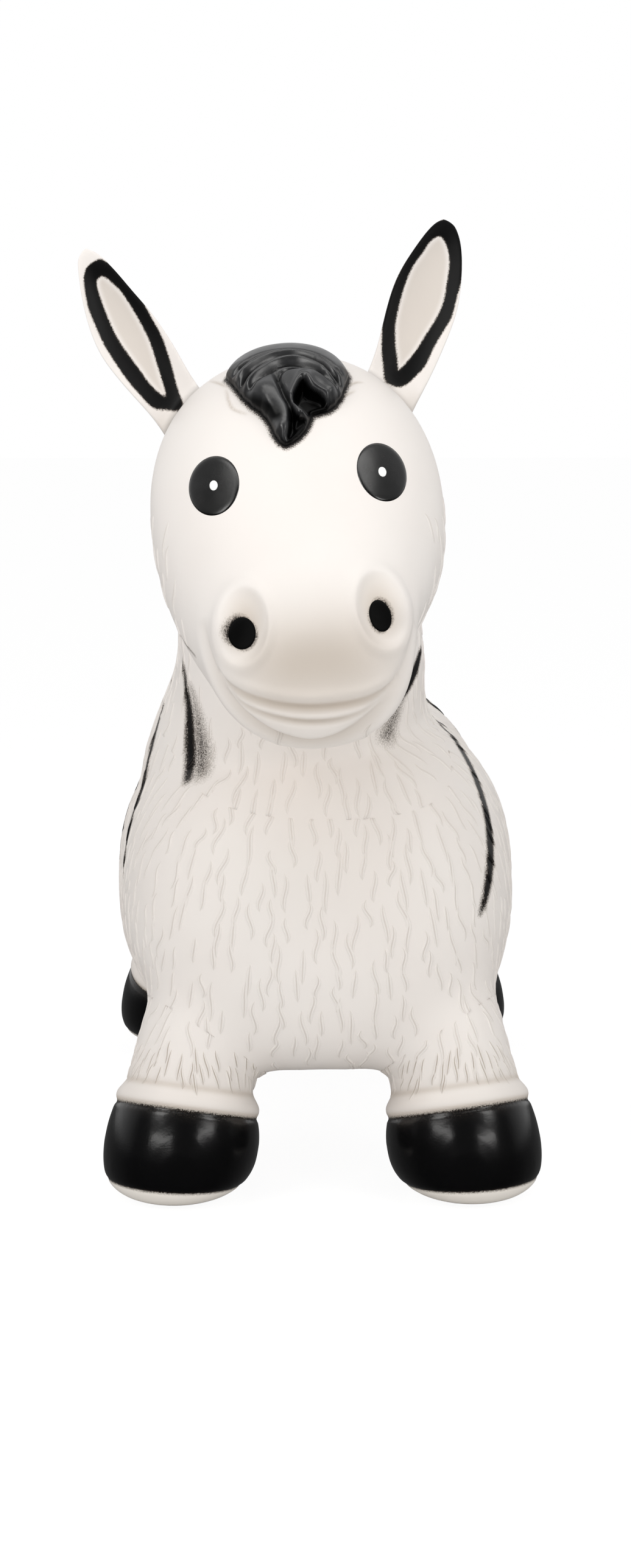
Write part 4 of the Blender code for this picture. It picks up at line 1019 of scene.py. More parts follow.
# %% Stripes round the body and the neck
# The photograph shows both shoulder stripes. It hides the others, which are those of any zebra. Each
# stripe is y and degrees of places down it, with half widths in mm
SHOULDER_STRIPES = {
    1.0: (
        ((-0.046, 62), (-0.070, 52), (-0.088, 46), (-0.106, 38), (-0.121, 28), (-0.136, 17),
         (-0.145, 9), (-0.151, 3)),
        (1.2, 3.0, 3.8, 4.2, 4.8, 5.0, 3.4, 0.8),
    ),
    -1.0: (
        ((-0.080, 52), (-0.080, 44), (-0.078, 34), (-0.076, 22), (-0.080, 8)),
        (1.2, 3.0, 4.2, 4.6, 1.4),
    ),
}
SHOULDER_STRENGTH, SHOULDER_SOFTNESS, HIDDEN_SOFTNESS = 0.96, 4.6, 3.2
FLANK_STRIPES = (
    (((0.004, 74), (-0.004, 56), (-0.009, 32), (-0.004, 8), (0.008, -12)), (4.0, 8.5, 8.0, 5.5, 1.2)),
    (((0.062, 76), (0.055, 54), (0.050, 30), (0.056, 6), (0.070, -16)), (4.0, 9.0, 8.5, 6.0, 1.2)),
    (((0.118, 76), (0.112, 54), (0.108, 29), (0.114, 4), (0.128, -16)), (4.0, 9.0, 8.5, 6.0, 1.2)),
    (((0.170, 74), (0.169, 52), (0.170, 28), (0.178, 5), (0.190, -12)), (3.5, 8.0, 8.0, 5.5, 1.2)),
    (((0.216, 64), (0.222, 44), (0.228, 24), (0.234, 6)), (3.0, 7.0, 6.0, 1.2)),
)
# Stripes round the neck: height along its axis and degrees, with half widths in mm
NAPE_STRIPES = (
    (((0.070, 60), (0.060, 44), (0.046, 26), (0.034, 8)), (2.5, 6.0, 5.5, 1.0)),
    (((0.012, 64), (0.002, 46), (-0.010, 28), (-0.022, 8)), (2.5, 6.5, 6.0, 1.0)),
)
# Share of the torso's depth at which it is widest, and places between those of a stripe's list
WIDEST_SHARE = 0.46
STRIPE_STEPS = 5


def around(side, y, angle):
    """A place on the body, out from its long axis, at degrees above the widest level."""
    middle = Vector((TORSO_X, y, BELLY_HEIGHT + WIDEST_SHARE * TORSO_DEPTH))
    turn = math.radians(angle)
    return detailed_skin.ray_cast(middle, Vector((side * math.cos(turn), 0.0, math.sin(turn))))[0]


def neck_around(side, height, angle):
    """A place on the neck, out from its axis, at degrees to the rear of straight sideways."""
    turn = math.radians(angle)
    back = SIDE.cross(NECK_AXIS).normalized()
    out = SIDE * side * math.cos(turn) - back * math.sin(turn)
    return detailed_skin.ray_cast(NECK_MIDDLE + NECK_AXIS * height, out)[0]


def round_stripe(place_of, side, rows, widths, softness):
    path = [place_of(side, *row) for row in eased_rows(rows, STRIPE_STEPS)]
    return stripe_cover(path, widths, softness)


for hand, side in HANDS:
    cover = round_stripe(around, side, *SHOULDER_STRIPES[side], SHOULDER_SOFTNESS)
    paint = np.maximum(paint, SHOULDER_STRENGTH * cover)
    for place_of, stripes in ((around, FLANK_STRIPES), (neck_around, NAPE_STRIPES)):
        for stripe in stripes:
            paint = np.maximum(paint, round_stripe(place_of, side, *stripe, HIDDEN_SOFTNESS))
print("points under stripes", int((paint > 0.5).sum()))

# %% Black on the hooves and under the forelock
CROWN_SHARE = 0.6
HAIR_SPRAY, HAIR_SPRAY_EDGE = 0.95, (-0.0046, 0.0008)
HOOF_EDGE, SOLE_EDGE, HOOF_FADE = (-0.0012, 0.0020), (-0.0022, 0.0022), (0.0030, 0.0100)
# Cover of the thin ink at the top of a hoof, and what full ink adds to it
HOOF_THIN, HOOF_FULL = 0.80, 0.20
on_crown = head_places[:, 2] > HEAD_CHIN_Z + CROWN_SHARE * HEAD_DEPTH
hair_spray = np.where(on_crown, ramp(within_forelock(skin_places), *HAIR_SPRAY_EDGE), 0.0)
hoof_paint = ramp(-coronet_heights, *HOOF_EDGE) * ramp(sole_heights, *SOLE_EDGE)
hoof_paint *= HOOF_THIN + HOOF_FULL * ramp(-coronet_heights, *HOOF_FADE)
paint = np.maximum.reduce([paint, HAIR_SPRAY * hair_spray, nostril_spray, hoof_paint])
print("points under full ink", int((paint > 0.9).sum()))

# %% Painted shade in the hollows
# Strength and width of the painted shade along each groove, dent and engraved line, where less light
# reaches: the lips, the fold round the muzzle, the nostril dents, the grooves over and under each rim
# and the thin hairs. In the nostril dents the toy also has a brown spray
dent = np.clip(1.0 - nostril_shares, 0.0, 1.0)
shade = np.maximum.reduce([
    0.62 * hump(upper_gap, 0.0034) * upper_fade,
    0.50 * hump(lower_gap, 0.0026) * lower_fade,
    0.34 * hump(fold_gap, 0.0075) * fold_fade,
    0.75 * dent**0.7,
    0.30 * hump(coronet_heights - RIM_HEIGHT * 1.45, 0.0019),
    0.40 * hump(coronet_heights - 0.0004, 0.0013),
    0.45 * thin_cover,
])
print("points in shaded hollows", int((shade > 0.2).sum()))

# %% Tan and painted shade on the muzzle, throat, chest and legs
# Half width, height above the chin and half height of the muzzle's patch, then its strength
MUZZLE_PATCH, MUZZLE_TAN_AND_SHADE = (0.043, 0.050, 0.027), 0.56
# The chest's patch: half width, height of its middle and half height
CHEST_PATCH, CHEST_SHADE, BODY_SHADE, LEG_SHADE = (0.060, 0.235, 0.060), 0.11, 0.06, 0.10
BELOW_HEAD, LEG_SHADE_TOP, OVER_CORONET = (0.285, 0.325), (0.055, 0.100), (-0.001, 0.001)
# The muzzle's patch is partly the toy's own tan spray and partly painted shade where the muzzle turns down.
# Below the head the skin is darker and warmer, most on the chest, and the legs darken towards the hooves:
# painted shade.
muzzle_x = head_places[:, 0] / MUZZLE_PATCH[0]
muzzle_z = (head_places[:, 2] - (HEAD_CHIN_Z + MUZZLE_PATCH[1])) / MUZZLE_PATCH[2]
muzzle_tan_and_shade = np.where(front, np.exp(-np.abs(muzzle_x) ** 3.0 - muzzle_z**2), 0.0)
chest_x = skin_places[:, 0] / CHEST_PATCH[0]
chest_z = (skin_places[:, 2] - CHEST_PATCH[1]) / CHEST_PATCH[2]
chest_shade = np.exp(-(chest_x**2) - chest_z**2) * (skin_places[:, 1] < 0.0)
body_shade = (1.0 - ramp(skin_places[:, 2], *BELOW_HEAD)) * (BODY_SHADE + CHEST_SHADE * chest_shade)
leg_shade = (1.0 - ramp(skin_places[:, 2], *LEG_SHADE_TOP)) * ramp(coronet_heights, *OVER_CORONET)
shade = np.maximum(shade, MUZZLE_TAN_AND_SHADE * muzzle_tan_and_shade)
shade = np.clip(shade + body_shade + LEG_SHADE * leg_shade, 0.0, 1.0)
print("shaded points", int((shade > 0.2).sum()))

# %% Where the fur is moulded
# The face is smooth. The short strokes of fur cover the chest, flanks, legs and cheeks. Each pair is
# where a mask starts and ends, in metres, in the head's frame for the head
FACE_DEPTH, FACE_RISE = (0.105, 0.150), (0.285, 0.300)
CHEEK_FACING, CHEEK_DEPTH, CHEEK_TOP = (0.84, 0.95), (0.198, 0.225), (0.390, 0.415)
FRINGE_FOOT = (RIM_HEIGHT * 1.5, RIM_HEIGHT * 1.7)
FRINGE_TOP = (RIM_HEIGHT * 3.0, RIM_HEIGHT * 4.0)
UNDERSIDE = (-0.95, -0.75)
face = ramp(-head_places[:, 1], *FACE_DEPTH) * ramp(head_places[:, 2], *FACE_RISE)
cheek = ramp(np.abs(skin_facings[:, 0]), *CHEEK_FACING)
cheek *= 1.0 - ramp(-head_places[:, 1], *CHEEK_DEPTH)
face *= 1.0 - cheek * (1.0 - ramp(head_places[:, 2], *CHEEK_TOP))
above_fringe = ramp(coronet_heights, *FRINGE_TOP)
fringe = ramp(coronet_heights, *FRINGE_FOOT) * (1.0 - above_fringe)
fur = (1.0 - face) * above_fringe * ramp(skin_facings[:, 2], *UNDERSIDE)
for name, values in (("paint", paint), ("shade", shade), ("fur", fur), ("fringe", fringe)):
    keep_on(skin_mesh, name, values)
facing_layer = skin_mesh.attributes.new("facing", "FLOAT_VECTOR", "POINT")
facing_layer.data.foreach_set("vector", skin_facings.reshape(-1).astype(np.float32))
print("share of the skin with fur", round(float(fur.mean()), 2))

# %% [markdown]
# ## Materials
# The skin is soft PVC: pale, matt and a little waxy, because the plasticiser in it scatters light. The
# spray on it is a thin vinyl ink that covers fully in the middle of a mark and thins to brown specks
# at its edge. Hooves and hair carry more ink and shine more. The prints on the face are pad printed,
# with crisp edges.
# Tan painted shade darkens the skin in its hollows and low on the body, and painted shade darkens the hair
# in its folds.

# %% Start and end of a material
# Numbers of the colour sockets of a Mix node
MIX_FACTOR, MIX_A, MIX_B, MIX_RESULT = 0, 6, 7, 2


def begin_material(name, view_code):
    made = bpy.data.materials.new(name)
    made.use_nodes = True
    made.node_tree.nodes.clear()
    made.diffuse_color = colour(view_code)
    return made, made.node_tree


def two_tones(tree, place, codes, scale, detail):
    """Soft patches of two colours, and the noise that they come from."""
    noise = add(tree, NOISE, {"Vector": place, "Scale": scale, "Detail": detail}).outputs["Fac"]
    tone = add(tree, MIX, {
        MIX_FACTOR: noise, MIX_A: colour(codes[0]), MIX_B: colour(codes[1])}, data_type="RGBA")
    return tone.outputs[MIX_RESULT], noise


def fine_grain(tree, place, scale, detail, depth, strength):
    grain = add(tree, NOISE, {"Vector": place, "Scale": scale, "Detail": detail}).outputs["Fac"]
    return add(tree, "ShaderNodeBump", {"Height": grain, "Distance": depth, "Strength": strength})


# %% Skin material
# Colours from a bare edge to full ink, at shares of the cover
INK_STOPS = ((0.0, "#8C7C69"), (0.55, "#3A322B"), (0.80, "#151312"), (1.0, "#0B0B0C"))
# Ink starts to hide the skin at the first share of cover and hides it at the second
INK_HIDES = (0.10, 0.62)
# Tan of the painted shade, also the toy's own tan on the muzzle and in the ears
SHADE_CODE = "#A8967F"
# One wave of a noise is 1 / scale metres: clouds of 60 mm, droplets of 0.8 mm and a grain of 1.2 mm
CLOUD_SCALE, DROP_SCALE, GRAIN_SCALE = 16.0, 1250.0, 820.0
SPECKLE, GRAIN_DEPTH, GRAIN_STRENGTH = 1.1, 0.00006, 0.5
BARE_SHINE = 0.40
PVC_IOR = 1.53


def sprayed_pvc(name, base_code, warm_code, bare_rough, ink_rough, ink_shine):
    """Rotation-moulded PVC under sprayed vinyl ink and tan painted shade, by the paint and shade kept on
    the mesh.
    """
    made, tree = begin_material(name, base_code)
    place = add(tree, "ShaderNodeTexCoord").outputs["Object"]
    cover = add(tree, "ShaderNodeAttribute", attribute_name="paint").outputs["Fac"]
    shaded = add(tree, "ShaderNodeAttribute", attribute_name="shade").outputs["Fac"]
    # Cloudy tone of the cast vinyl, and tan painted shade in the hollows and low on the body, which on the
    # muzzle and in the ears is also the toy's own tan
    tone = two_tones(tree, place, (base_code, warm_code), CLOUD_SCALE, 3.0)[0]
    shaded_tone = add(tree, MIX, {
        MIX_FACTOR: shaded, MIX_A: tone, MIX_B: colour(SHADE_CODE)}, data_type="RGBA")
    # Droplets speckle the ink, most where the cover is half
    drops = add(tree, NOISE, {
        "Vector": place, "Scale": DROP_SCALE, "Detail": 2.0, "Roughness": 0.7})
    spread = add(tree, MATH, (drops.outputs["Fac"], 0.5), operation="SUBTRACT")
    wide = add(tree, MATH, (spread, SPECKLE), operation="MULTIPLY")
    rest = add(tree, MATH, (1.0, cover), operation="SUBTRACT")
    half = add(tree, MATH, (rest, cover), operation="MULTIPLY")
    most = add(tree, MATH, (half, 4.0), operation="MULTIPLY")
    speck = add(tree, MATH, (wide, most), operation="MULTIPLY")
    laid = add(tree, MATH, (cover, speck), operation="ADD", use_clamp=True)
    ink = add(tree, "ShaderNodeValToRGB", {"Fac": laid})
    stops = ink.color_ramp.elements
    stops[0].position, stops[0].color = INK_STOPS[0][0], colour(INK_STOPS[0][1])
    stops[1].position, stops[1].color = INK_STOPS[-1][0], colour(INK_STOPS[-1][1])
    for share, code in INK_STOPS[1:-1]:
        stops.new(share).color = colour(code)
    over = add(tree, FIT, {
        "Value": laid, "From Min": INK_HIDES[0], "From Max": INK_HIDES[1]})
    final = add(tree, MIX, {
        MIX_FACTOR: over, MIX_A: shaded_tone.outputs[MIX_RESULT], MIX_B: ink}, data_type="RGBA")
    dull = add(tree, FIT, {"Value": laid, "To Min": bare_rough, "To Max": ink_rough})
    shine = add(tree, FIT, {"Value": laid, "To Min": BARE_SHINE, "To Max": ink_shine})
    relief = fine_grain(tree, place, GRAIN_SCALE, 3.0, GRAIN_DEPTH, GRAIN_STRENGTH)
    shader = add(tree, "ShaderNodeBsdfPrincipled", {
        "Base Color": final.outputs[MIX_RESULT], "Roughness": dull, "Normal": relief,
        "IOR": PVC_IOR, "Specular IOR Level": shine})
    add(tree, "ShaderNodeOutputMaterial", {"Surface": shader})
    return made


skin_pvc = sprayed_pvc("moulded_soft_pvc_ivory", "#F5F1ED", "#F1EAE5", 0.52, 0.45, 0.22)
hoof_ink = sprayed_pvc("sprayed_black_vinyl_ink_on_hoof", "#F4F0EA", "#EFE9E1", 0.45, 0.19, 0.50)
print("materials", [made.name for made in (skin_pvc, hoof_ink)])

# %% [markdown]
# ## Cut the skin where the toy bends
# The model moves at the neck, the hips and the ears, so the one skin is cut into a torso, a head with
# its neck and four legs. Each cut is flat. The facings of the whole skin are kept on the mesh before
# the cut and given back to the pieces, so no seam shows.

# %% Cut planes
# Distance in metres from the neck's middle down to its cut
NECK_BEND = 0.040
NECK_START = NECK_MIDDLE - NECK_AXIS * NECK_BEND
NECK_CUT_LOW_Z = 0.18
# Place and direction of the cut of a left leg
LEG_CUTS = {
    "front": (Vector((0.030, -0.120, 0.066)), Vector((0.55, -0.24, -0.80)).normalized()),
    "rear": (Vector((0.046, 0.205, 0.074)), Vector((0.50, 0.35, -0.79)).normalized()),
}
LEG_CUT_REACH_Y, LEG_CUT_TOP_Z = 0.14, 0.20
CUT_PRECISION = 0.0000005


def leg_cut(name, side):
    """The place and the direction of the cut of a leg, on its own side."""
    return [Vector((side * part.x, part.y, part.z)) for part in LEG_CUTS[name.split("_")[0]]]


def cut_between(work, at, normal, inside):
    """Cut edges along a plane, for faces that pass a test, and give the faces beyond it."""
    faces = [face for face in work.faces if inside(face.calc_center_median())]
    verts = {vert for face in faces for vert in face.verts}
    edges = {edge for face in faces for edge in face.edges}
    geometry = list(verts) + list(edges) + faces
    bmesh.ops.bisect_plane(work, geom=geometry, plane_co=at, plane_no=normal, dist=CUT_PRECISION)
    centres = [(face, face.calc_center_median()) for face in work.faces]
    return [face for face, centre in centres if inside(centre) and (centre - at).dot(normal) > 0.0]


def grown_from(faces, seed):
    """The connected part of some faces that holds the face nearest to a place."""
    left = set(faces)
    first = min(left, key=lambda face: (face.calc_center_median() - seed).length_squared)
    found = {first}
    edge_of_search = [first]
    while edge_of_search:
        for edge in edge_of_search.pop().edges:
            for other in edge.link_faces:
                if other in left and other not in found:
                    found.add(other)
                    edge_of_search.append(other)
    return found


def taken_out(work, faces):
    """A new bmesh of some faces, which leave the one they were in."""
    marks = work.faces.layers.int["part"]
    for face in faces:
        face[marks] = 1
    made = work.copy()
    marks_made = made.faces.layers.int["part"]
    others = [face for face in made.faces if not face[marks_made]]
    bmesh.ops.delete(made, geom=others, context="FACES")
    bmesh.ops.delete(work, geom=list(faces), context="FACES")
    for face in made.faces:
        face[marks_made] = 0
    return made


def near_leg(sole):
    """A test for one leg's quarter of the animal, below its back."""
    def test(point):
        same_side = point.x * sole.x > 0.0
        return same_side and abs(point.y - sole.y) < LEG_CUT_REACH_Y and point.z < LEG_CUT_TOP_Z
    return test


def everywhere(point):
    return True


# %% Cut the skin into its pieces
pieces = {}
work = opened(skin_mesh)
for layer in ("part", "cap"):
    work.faces.layers.int.new(layer)
above = cut_between(work, NECK_START, NECK_AXIS, lambda point: point.z > NECK_CUT_LOW_Z)
pieces["head"] = taken_out(work, grown_from(above, on_head(0.0, 0.5, 0.95)))
for name, side, sole, *lean in LEG_PLACES:
    below = cut_between(work, *leg_cut(name, side), near_leg(sole))
    leg = taken_out(work, grown_from(below, sole))
    coronet, coronet_up, edge, edge_up = LEG_PLANES[name]
    hoof = taken_out(leg, cut_between(leg, coronet, -coronet_up, everywhere))
    base = taken_out(hoof, cut_between(hoof, edge, -edge_up, everywhere))
    pieces[f"leg_{name}"], pieces[f"hoof_{name}"], pieces[f"sole_{name}"] = leg, hoof, base
pieces["torso"] = work
open_pieces = {}
for name in ("torso", "head", *[f"leg_{place[0]}" for place in LEG_PLACES]):
    open_pieces[name] = to_mesh(pieces[name].copy(), f"open_{name}")
print({name: len(part.faces) for name, part in pieces.items()})

# %% Close the cuts and keep the facings
def skin_piece(name, part, look):
    """A closed piece of the skin that is shaded as the whole was."""
    cap_marks = part.faces.layers.int["cap"]
    open_edges = [edge for edge in part.edges if edge.is_boundary]
    caps = bmesh.ops.holes_fill(part, edges=open_edges, sides=0)["faces"]
    for face in bmesh.ops.triangulate(part, faces=caps)["faces"]:
        face[cap_marks] = 1
    bmesh.ops.recalc_face_normals(part, faces=part.faces[:])
    mesh = to_mesh(part, name)
    made = smooth_object(name, mesh, look)
    facings = values_of(mesh.attributes["facing"].data, "vector", 3)
    facings /= np.maximum(np.linalg.norm(facings, axis=1, keepdims=True), 1e-9)
    capped = values_of(mesh.attributes["cap"].data, "value", 1, np.int32)
    corners = values_of(mesh.loops, "vertex_index", 1, np.int32)[:, 0]
    flat = values_of(mesh.polygons, "normal", 3)
    owners = np.repeat(np.arange(len(flat)), [len(face.vertices) for face in mesh.polygons])
    corner_facings = np.where(capped[owners] == 1, flat[owners], facings[corners])
    mesh.normals_split_custom_set(corner_facings.tolist())
    for layer in ("facing", "cap", "part", "fur", "fringe"):
        if layer in mesh.attributes:
            mesh.attributes.remove(mesh.attributes[layer])
    return made


torso = skin_piece("torso_skin", pieces["torso"], skin_pvc)
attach(torso, "body")
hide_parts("torso")
head = skin_piece("head_and_neck_skin", pieces["head"], skin_pvc)
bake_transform(head)
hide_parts("head_and_neck")
for name, side, *rest in LEG_PLACES:
    at, normal = leg_cut(name, side)
    leg = skin_piece(f"leg_skin_{name}", pieces[f"leg_{name}"], skin_pvc)
    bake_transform(leg)
    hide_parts(f"leg_{name}")
    for kind, slot_name in (("hoof", "black_print"), ("sole", "bare_sole")):
        part = skin_piece(f"{kind}_shell_{name}", pieces[f"{kind}_{name}"], hoof_ink)
        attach(part, f"leg_{name}")
        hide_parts(f"{kind}_{name}")
print("skin pieces", len(pieces))

# %% [markdown]
# ## Moulded fur
# Short S-shaped strokes are engraved in the mould all over the coat, mostly downwards, and closer
# together above the hooves. They could be a bump in the material, but then they would be gone from the
# shape. Geometry Nodes scatter points over each piece of skin, lay a small net at each point, bend it
# to an S, drop it on the skin, and lift two fine lips beside a valley, as a stylus leaves in clay.

# %% Node group of the strokes
KEEP, KEPT = "GeometryNodeStoreNamedAttribute", "GeometryNodeInputNamedAttribute"
NEAREST = "GeometryNodeSampleNearestSurface"
tree = bpy.data.node_groups.new("moulded_fur", "GeometryNodeTree")
FUR_TREE, FUR_KEYS = tree, {}
for name, kind in (
    ("Geometry", "Geometry"), ("Spacing", "Float"), ("Length", "Float"), ("Width", "Float"),
    ("Lip Height", "Float"), ("Bend", "Float"), ("Spread", "Float"), ("Shade", "Float"),
    ("Mask", "String"), ("Seed", "Int"), ("Material", "Material"),
):
    socket = tree.interface.new_socket(name, in_out="INPUT", socket_type=f"NodeSocket{kind}")
    FUR_KEYS[name] = socket.identifier
tree.interface.new_socket("Geometry", in_out="OUTPUT", socket_type="NodeSocketGeometry")
given = add(tree, "NodeGroupInput").outputs
position = add(tree, "GeometryNodeInputPosition").outputs[0]
print("inputs of the node group", len(FUR_KEYS))

# %% Points with the directions and sizes of their strokes
# Down the coat is towards the floor and a little to the rear
DOWN_THE_COAT = (0.0, 0.45, -1.0)
PACKING = 1.6
STROKE_SIZES = (0.65, 1.15)
SIZE_SEED, SWING_SEED = 11, 23
mask = add(tree, KEPT, {"Name": given["Mask"]})
square = add(tree, MATH, (given["Spacing"], given["Spacing"]), operation="MULTIPLY")
density = add(tree, MATH, (PACKING, square), operation="DIVIDE")
scatter = add(tree, "GeometryNodeDistributePointsOnFaces", {
    "Mesh": given["Geometry"], "Distance Min": given["Spacing"], "Density Max": density,
    "Density Factor": mask, "Seed": given["Seed"]}, distribute_method="POISSON")
facing = scatter.outputs["Normal"]
# Down along the skin, turned a little at random
share = add(tree, VECTOR_MATH, (DOWN_THE_COAT, facing), operation="DOT_PRODUCT")
outwards = add(tree, VECTOR_MATH, {0: facing, "Scale": share.outputs["Value"]}, operation="SCALE")
along_skin = add(tree, VECTOR_MATH, (DOWN_THE_COAT, outwards), operation="SUBTRACT")
downwards = add(tree, VECTOR_MATH, {0: along_skin}, operation="NORMALIZE")
other_way = add(tree, MATH, (given["Spread"], -1.0), operation="MULTIPLY")
chance = add(tree, RANDOM, {
    2: other_way, 3: given["Spread"], "Seed": given["Seed"]}).outputs[1]
turned = add(tree, "ShaderNodeVectorRotate", {
    "Vector": downwards, "Center": (0.0, 0.0, 0.0), "Axis": facing, "Angle": chance,
}, rotation_type="AXIS_ANGLE")
size = add(tree, RANDOM, {
    2: STROKE_SIZES[0], 3: STROKE_SIZES[1], "Seed": SIZE_SEED}).outputs[1]
swing = add(tree, RANDOM, {2: -1.0, 3: 1.0, "Seed": SWING_SEED}).outputs[1]
points = scatter
for name, kind, value in (
    ("centre", "FLOAT_VECTOR", position), ("down", "FLOAT_VECTOR", turned),
    ("out", "FLOAT_VECTOR", facing), ("size", "FLOAT", size), ("swing", "FLOAT", swing),
):
    points = add(tree, KEEP, {
        "Geometry": points, "Name": name, "Value": value}, data_type=kind)
print("nodes for the points", len(tree.nodes))

# %% A small net at each point
# Its columns and rows are kept as shares from -1 to 1
STROKE_COLUMNS, STROKE_ROWS = 7, 9
net = add(tree, "GeometryNodeMeshGrid", {
    "Size X": 2.0, "Size Y": 2.0, "Vertices X": STROKE_COLUMNS, "Vertices Y": STROKE_ROWS})
shares = add(tree, "ShaderNodeSeparateXYZ", {0: position}).outputs
for name, value in (("column", shares["X"]), ("row", shares["Y"])):
    net = add(tree, KEEP, {
        "Geometry": net, "Name": name, "Value": value})
nets = add(tree, "GeometryNodeInstanceOnPoints", {"Points": points, "Instance": net})
nets = add(tree, "GeometryNodeRealizeInstances", {"Geometry": nets})
column, row, size, swing = [
    add(tree, KEPT, {"Name": name}) for name in ("column", "row", "size", "swing")]
centre, down, out = [
    add(tree, KEPT, {"Name": name}, data_type="FLOAT_VECTOR") for name in ("centre", "down", "out")]
print("vertices of a net", STROKE_COLUMNS * STROKE_ROWS)

# %% Bend each net to a slim S
# Angle in radians of the wave at a stroke's ends, and the power of its slimming towards them
WAVE_END, SLIM_POWER = 2.9, 0.6
# The stroke slims towards its ends: (1 - row * row) to a power
square = add(tree, MATH, (row, row), operation="MULTIPLY")
left = add(tree, MATH, (1.0, square), operation="SUBTRACT")
slim = add(tree, MATH, (left, SLIM_POWER), operation="POWER")
across = add(tree, VECTOR_MATH, (down, out), operation="CROSS_PRODUCT")
half_row = add(tree, MATH, (row, 0.5), operation="MULTIPLY")
length = add(tree, MATH, (given["Length"], size), operation="MULTIPLY")
along = add(tree, MATH, (half_row, length), operation="MULTIPLY")
# One full wave makes an S. Its sign and height change from stroke to stroke
angle = add(tree, MATH, (row, WAVE_END), operation="MULTIPLY")
wave = add(tree, MATH, {0: angle}, operation="SINE")
swung = add(tree, MATH, (wave, swing), operation="MULTIPLY")
sway = add(tree, MATH, (swung, given["Bend"]), operation="MULTIPLY")
half_column = add(tree, MATH, (column, 0.5), operation="MULTIPLY")
width = add(tree, MATH, (given["Width"], slim), operation="MULTIPLY")
reach = add(tree, MATH, (half_column, width), operation="MULTIPLY")
sideways = add(tree, MATH, (sway, reach), operation="ADD")
down_part = add(tree, VECTOR_MATH, {0: down, "Scale": along}, operation="SCALE")
side_part = add(tree, VECTOR_MATH, {0: across, "Scale": sideways}, operation="SCALE")
offset = add(tree, VECTOR_MATH, (down_part, side_part), operation="ADD")
place = add(tree, VECTOR_MATH, (centre, offset), operation="ADD")
strokes = add(tree, "GeometryNodeSetPosition", {"Geometry": nets, "Position": place})
print("nodes up to the bend", len(tree.nodes))

# %% Drop the strokes on the skin and lift two lips
# The outer edges lie just under the skin, so that no edge shows
LIP_EDGE_DROP, LIP_LIFT = -0.00014, 0.00006
skin = add(tree, "GeometryNodeProximity", {"Geometry": given["Geometry"]})
normal = add(tree, "GeometryNodeInputNormal")
facing = add(tree, NEAREST, {
    "Mesh": given["Geometry"], "Value": normal}, data_type="FLOAT_VECTOR")
# The square of a wave over the columns is 0 in the valley and 1 on both lips
angle = add(tree, MATH, (column, math.pi), operation="MULTIPLY")
ripple = add(tree, MATH, {0: angle}, operation="SINE")
shape = add(tree, MATH, (ripple, ripple), operation="MULTIPLY")
height = add(tree, MATH, (given["Lip Height"], slim), operation="MULTIPLY")
lips = add(tree, MATH, (shape, height), operation="MULTIPLY")
square = add(tree, MATH, (column, column), operation="MULTIPLY")
edge = add(tree, MATH, (square, LIP_EDGE_DROP), operation="MULTIPLY")
relief = add(tree, MATH, (lips, edge), operation="ADD")
lift = add(tree, MATH, (relief, LIP_LIFT), operation="ADD")
offset = add(tree, VECTOR_MATH, {0: facing, "Scale": lift}, operation="SCALE")
place = add(tree, VECTOR_MATH, (skin, offset), operation="ADD")
strokes = add(tree, "GeometryNodeSetPosition", {"Geometry": strokes, "Position": place})
print("nodes up to the lips", len(tree.nodes))

# %% Paint on the strokes
# The paint under a stroke goes on over it, and its valley gets painted shade
VALLEY_NARROWING = 2.4
middle = add(tree, MATH, {0: column}, operation="ABSOLUTE")
wider = add(tree, MATH, (middle, VALLEY_NARROWING), operation="MULTIPLY")
outside = add(tree, MATH, (wider, 1.0), operation="MINIMUM")
inside = add(tree, MATH, (1.0, outside), operation="SUBTRACT")
valley = add(tree, MATH, (inside, given["Shade"]), operation="MULTIPLY")
for name, extra in (("paint", 0.0), ("shade", valley)):
    on_skin = add(tree, KEPT, {"Name": name})
    under = add(tree, NEAREST, {"Mesh": given["Geometry"], "Value": on_skin})
    value = add(tree, MATH, (under, extra), operation="MAXIMUM")
    strokes = add(tree, KEEP, {
        "Geometry": strokes, "Name": name, "Value": value})
strokes = add(tree, "GeometryNodeSetShadeSmooth", {"Geometry": strokes})
strokes = add(tree, "GeometryNodeSetMaterial", {"Geometry": strokes, "Material": given["Material"]})
add(tree, "NodeGroupOutput", {0: strokes})
print("fur tree has", len(tree.nodes), "nodes")

# %% Strokes on every piece
# Sizes in metres of a coat stroke and of the fringe above a hoof, with the painted shade in its valley
COAT = {
    "Spacing": 0.0094, "Length": 0.0230, "Width": 0.0036, "Lip Height": 0.00080, "Bend": 0.0020,
    "Spread": 0.09, "Shade": 0.30,
}
FRINGE = {
    "Spacing": 0.0050, "Length": 0.0160, "Width": 0.0028, "Lip Height": 0.00095, "Bend": 0.0006,
    "Spread": 0.10, "Shade": 0.72,
}
COAT_SEED, FRINGE_SEED = 3, 30
STROKE_LAYERS = ("centre", "down", "out", "size", "swing", "column", "row")


def strokes_on(name, mesh, mask, values, seed):
    item = new_object(name, mesh.copy())
    step = item.modifiers.new("fur", "NODES")
    step.node_group = FUR_TREE
    for key, value in {**values, "Mask": mask, "Seed": seed, "Material": skin_pvc}.items():
        step[FUR_KEYS[key]] = value
    made = evaluated(item, name)
    for layer in STROKE_LAYERS:
        if layer in made.attributes:
            made.attributes.remove(made.attributes[layer])
    return made


def joined(name, meshes):
    work = bmesh.new()
    for mesh in meshes:
        work.from_mesh(mesh)
    return smooth_object(name, to_mesh(work, name), skin_pvc)


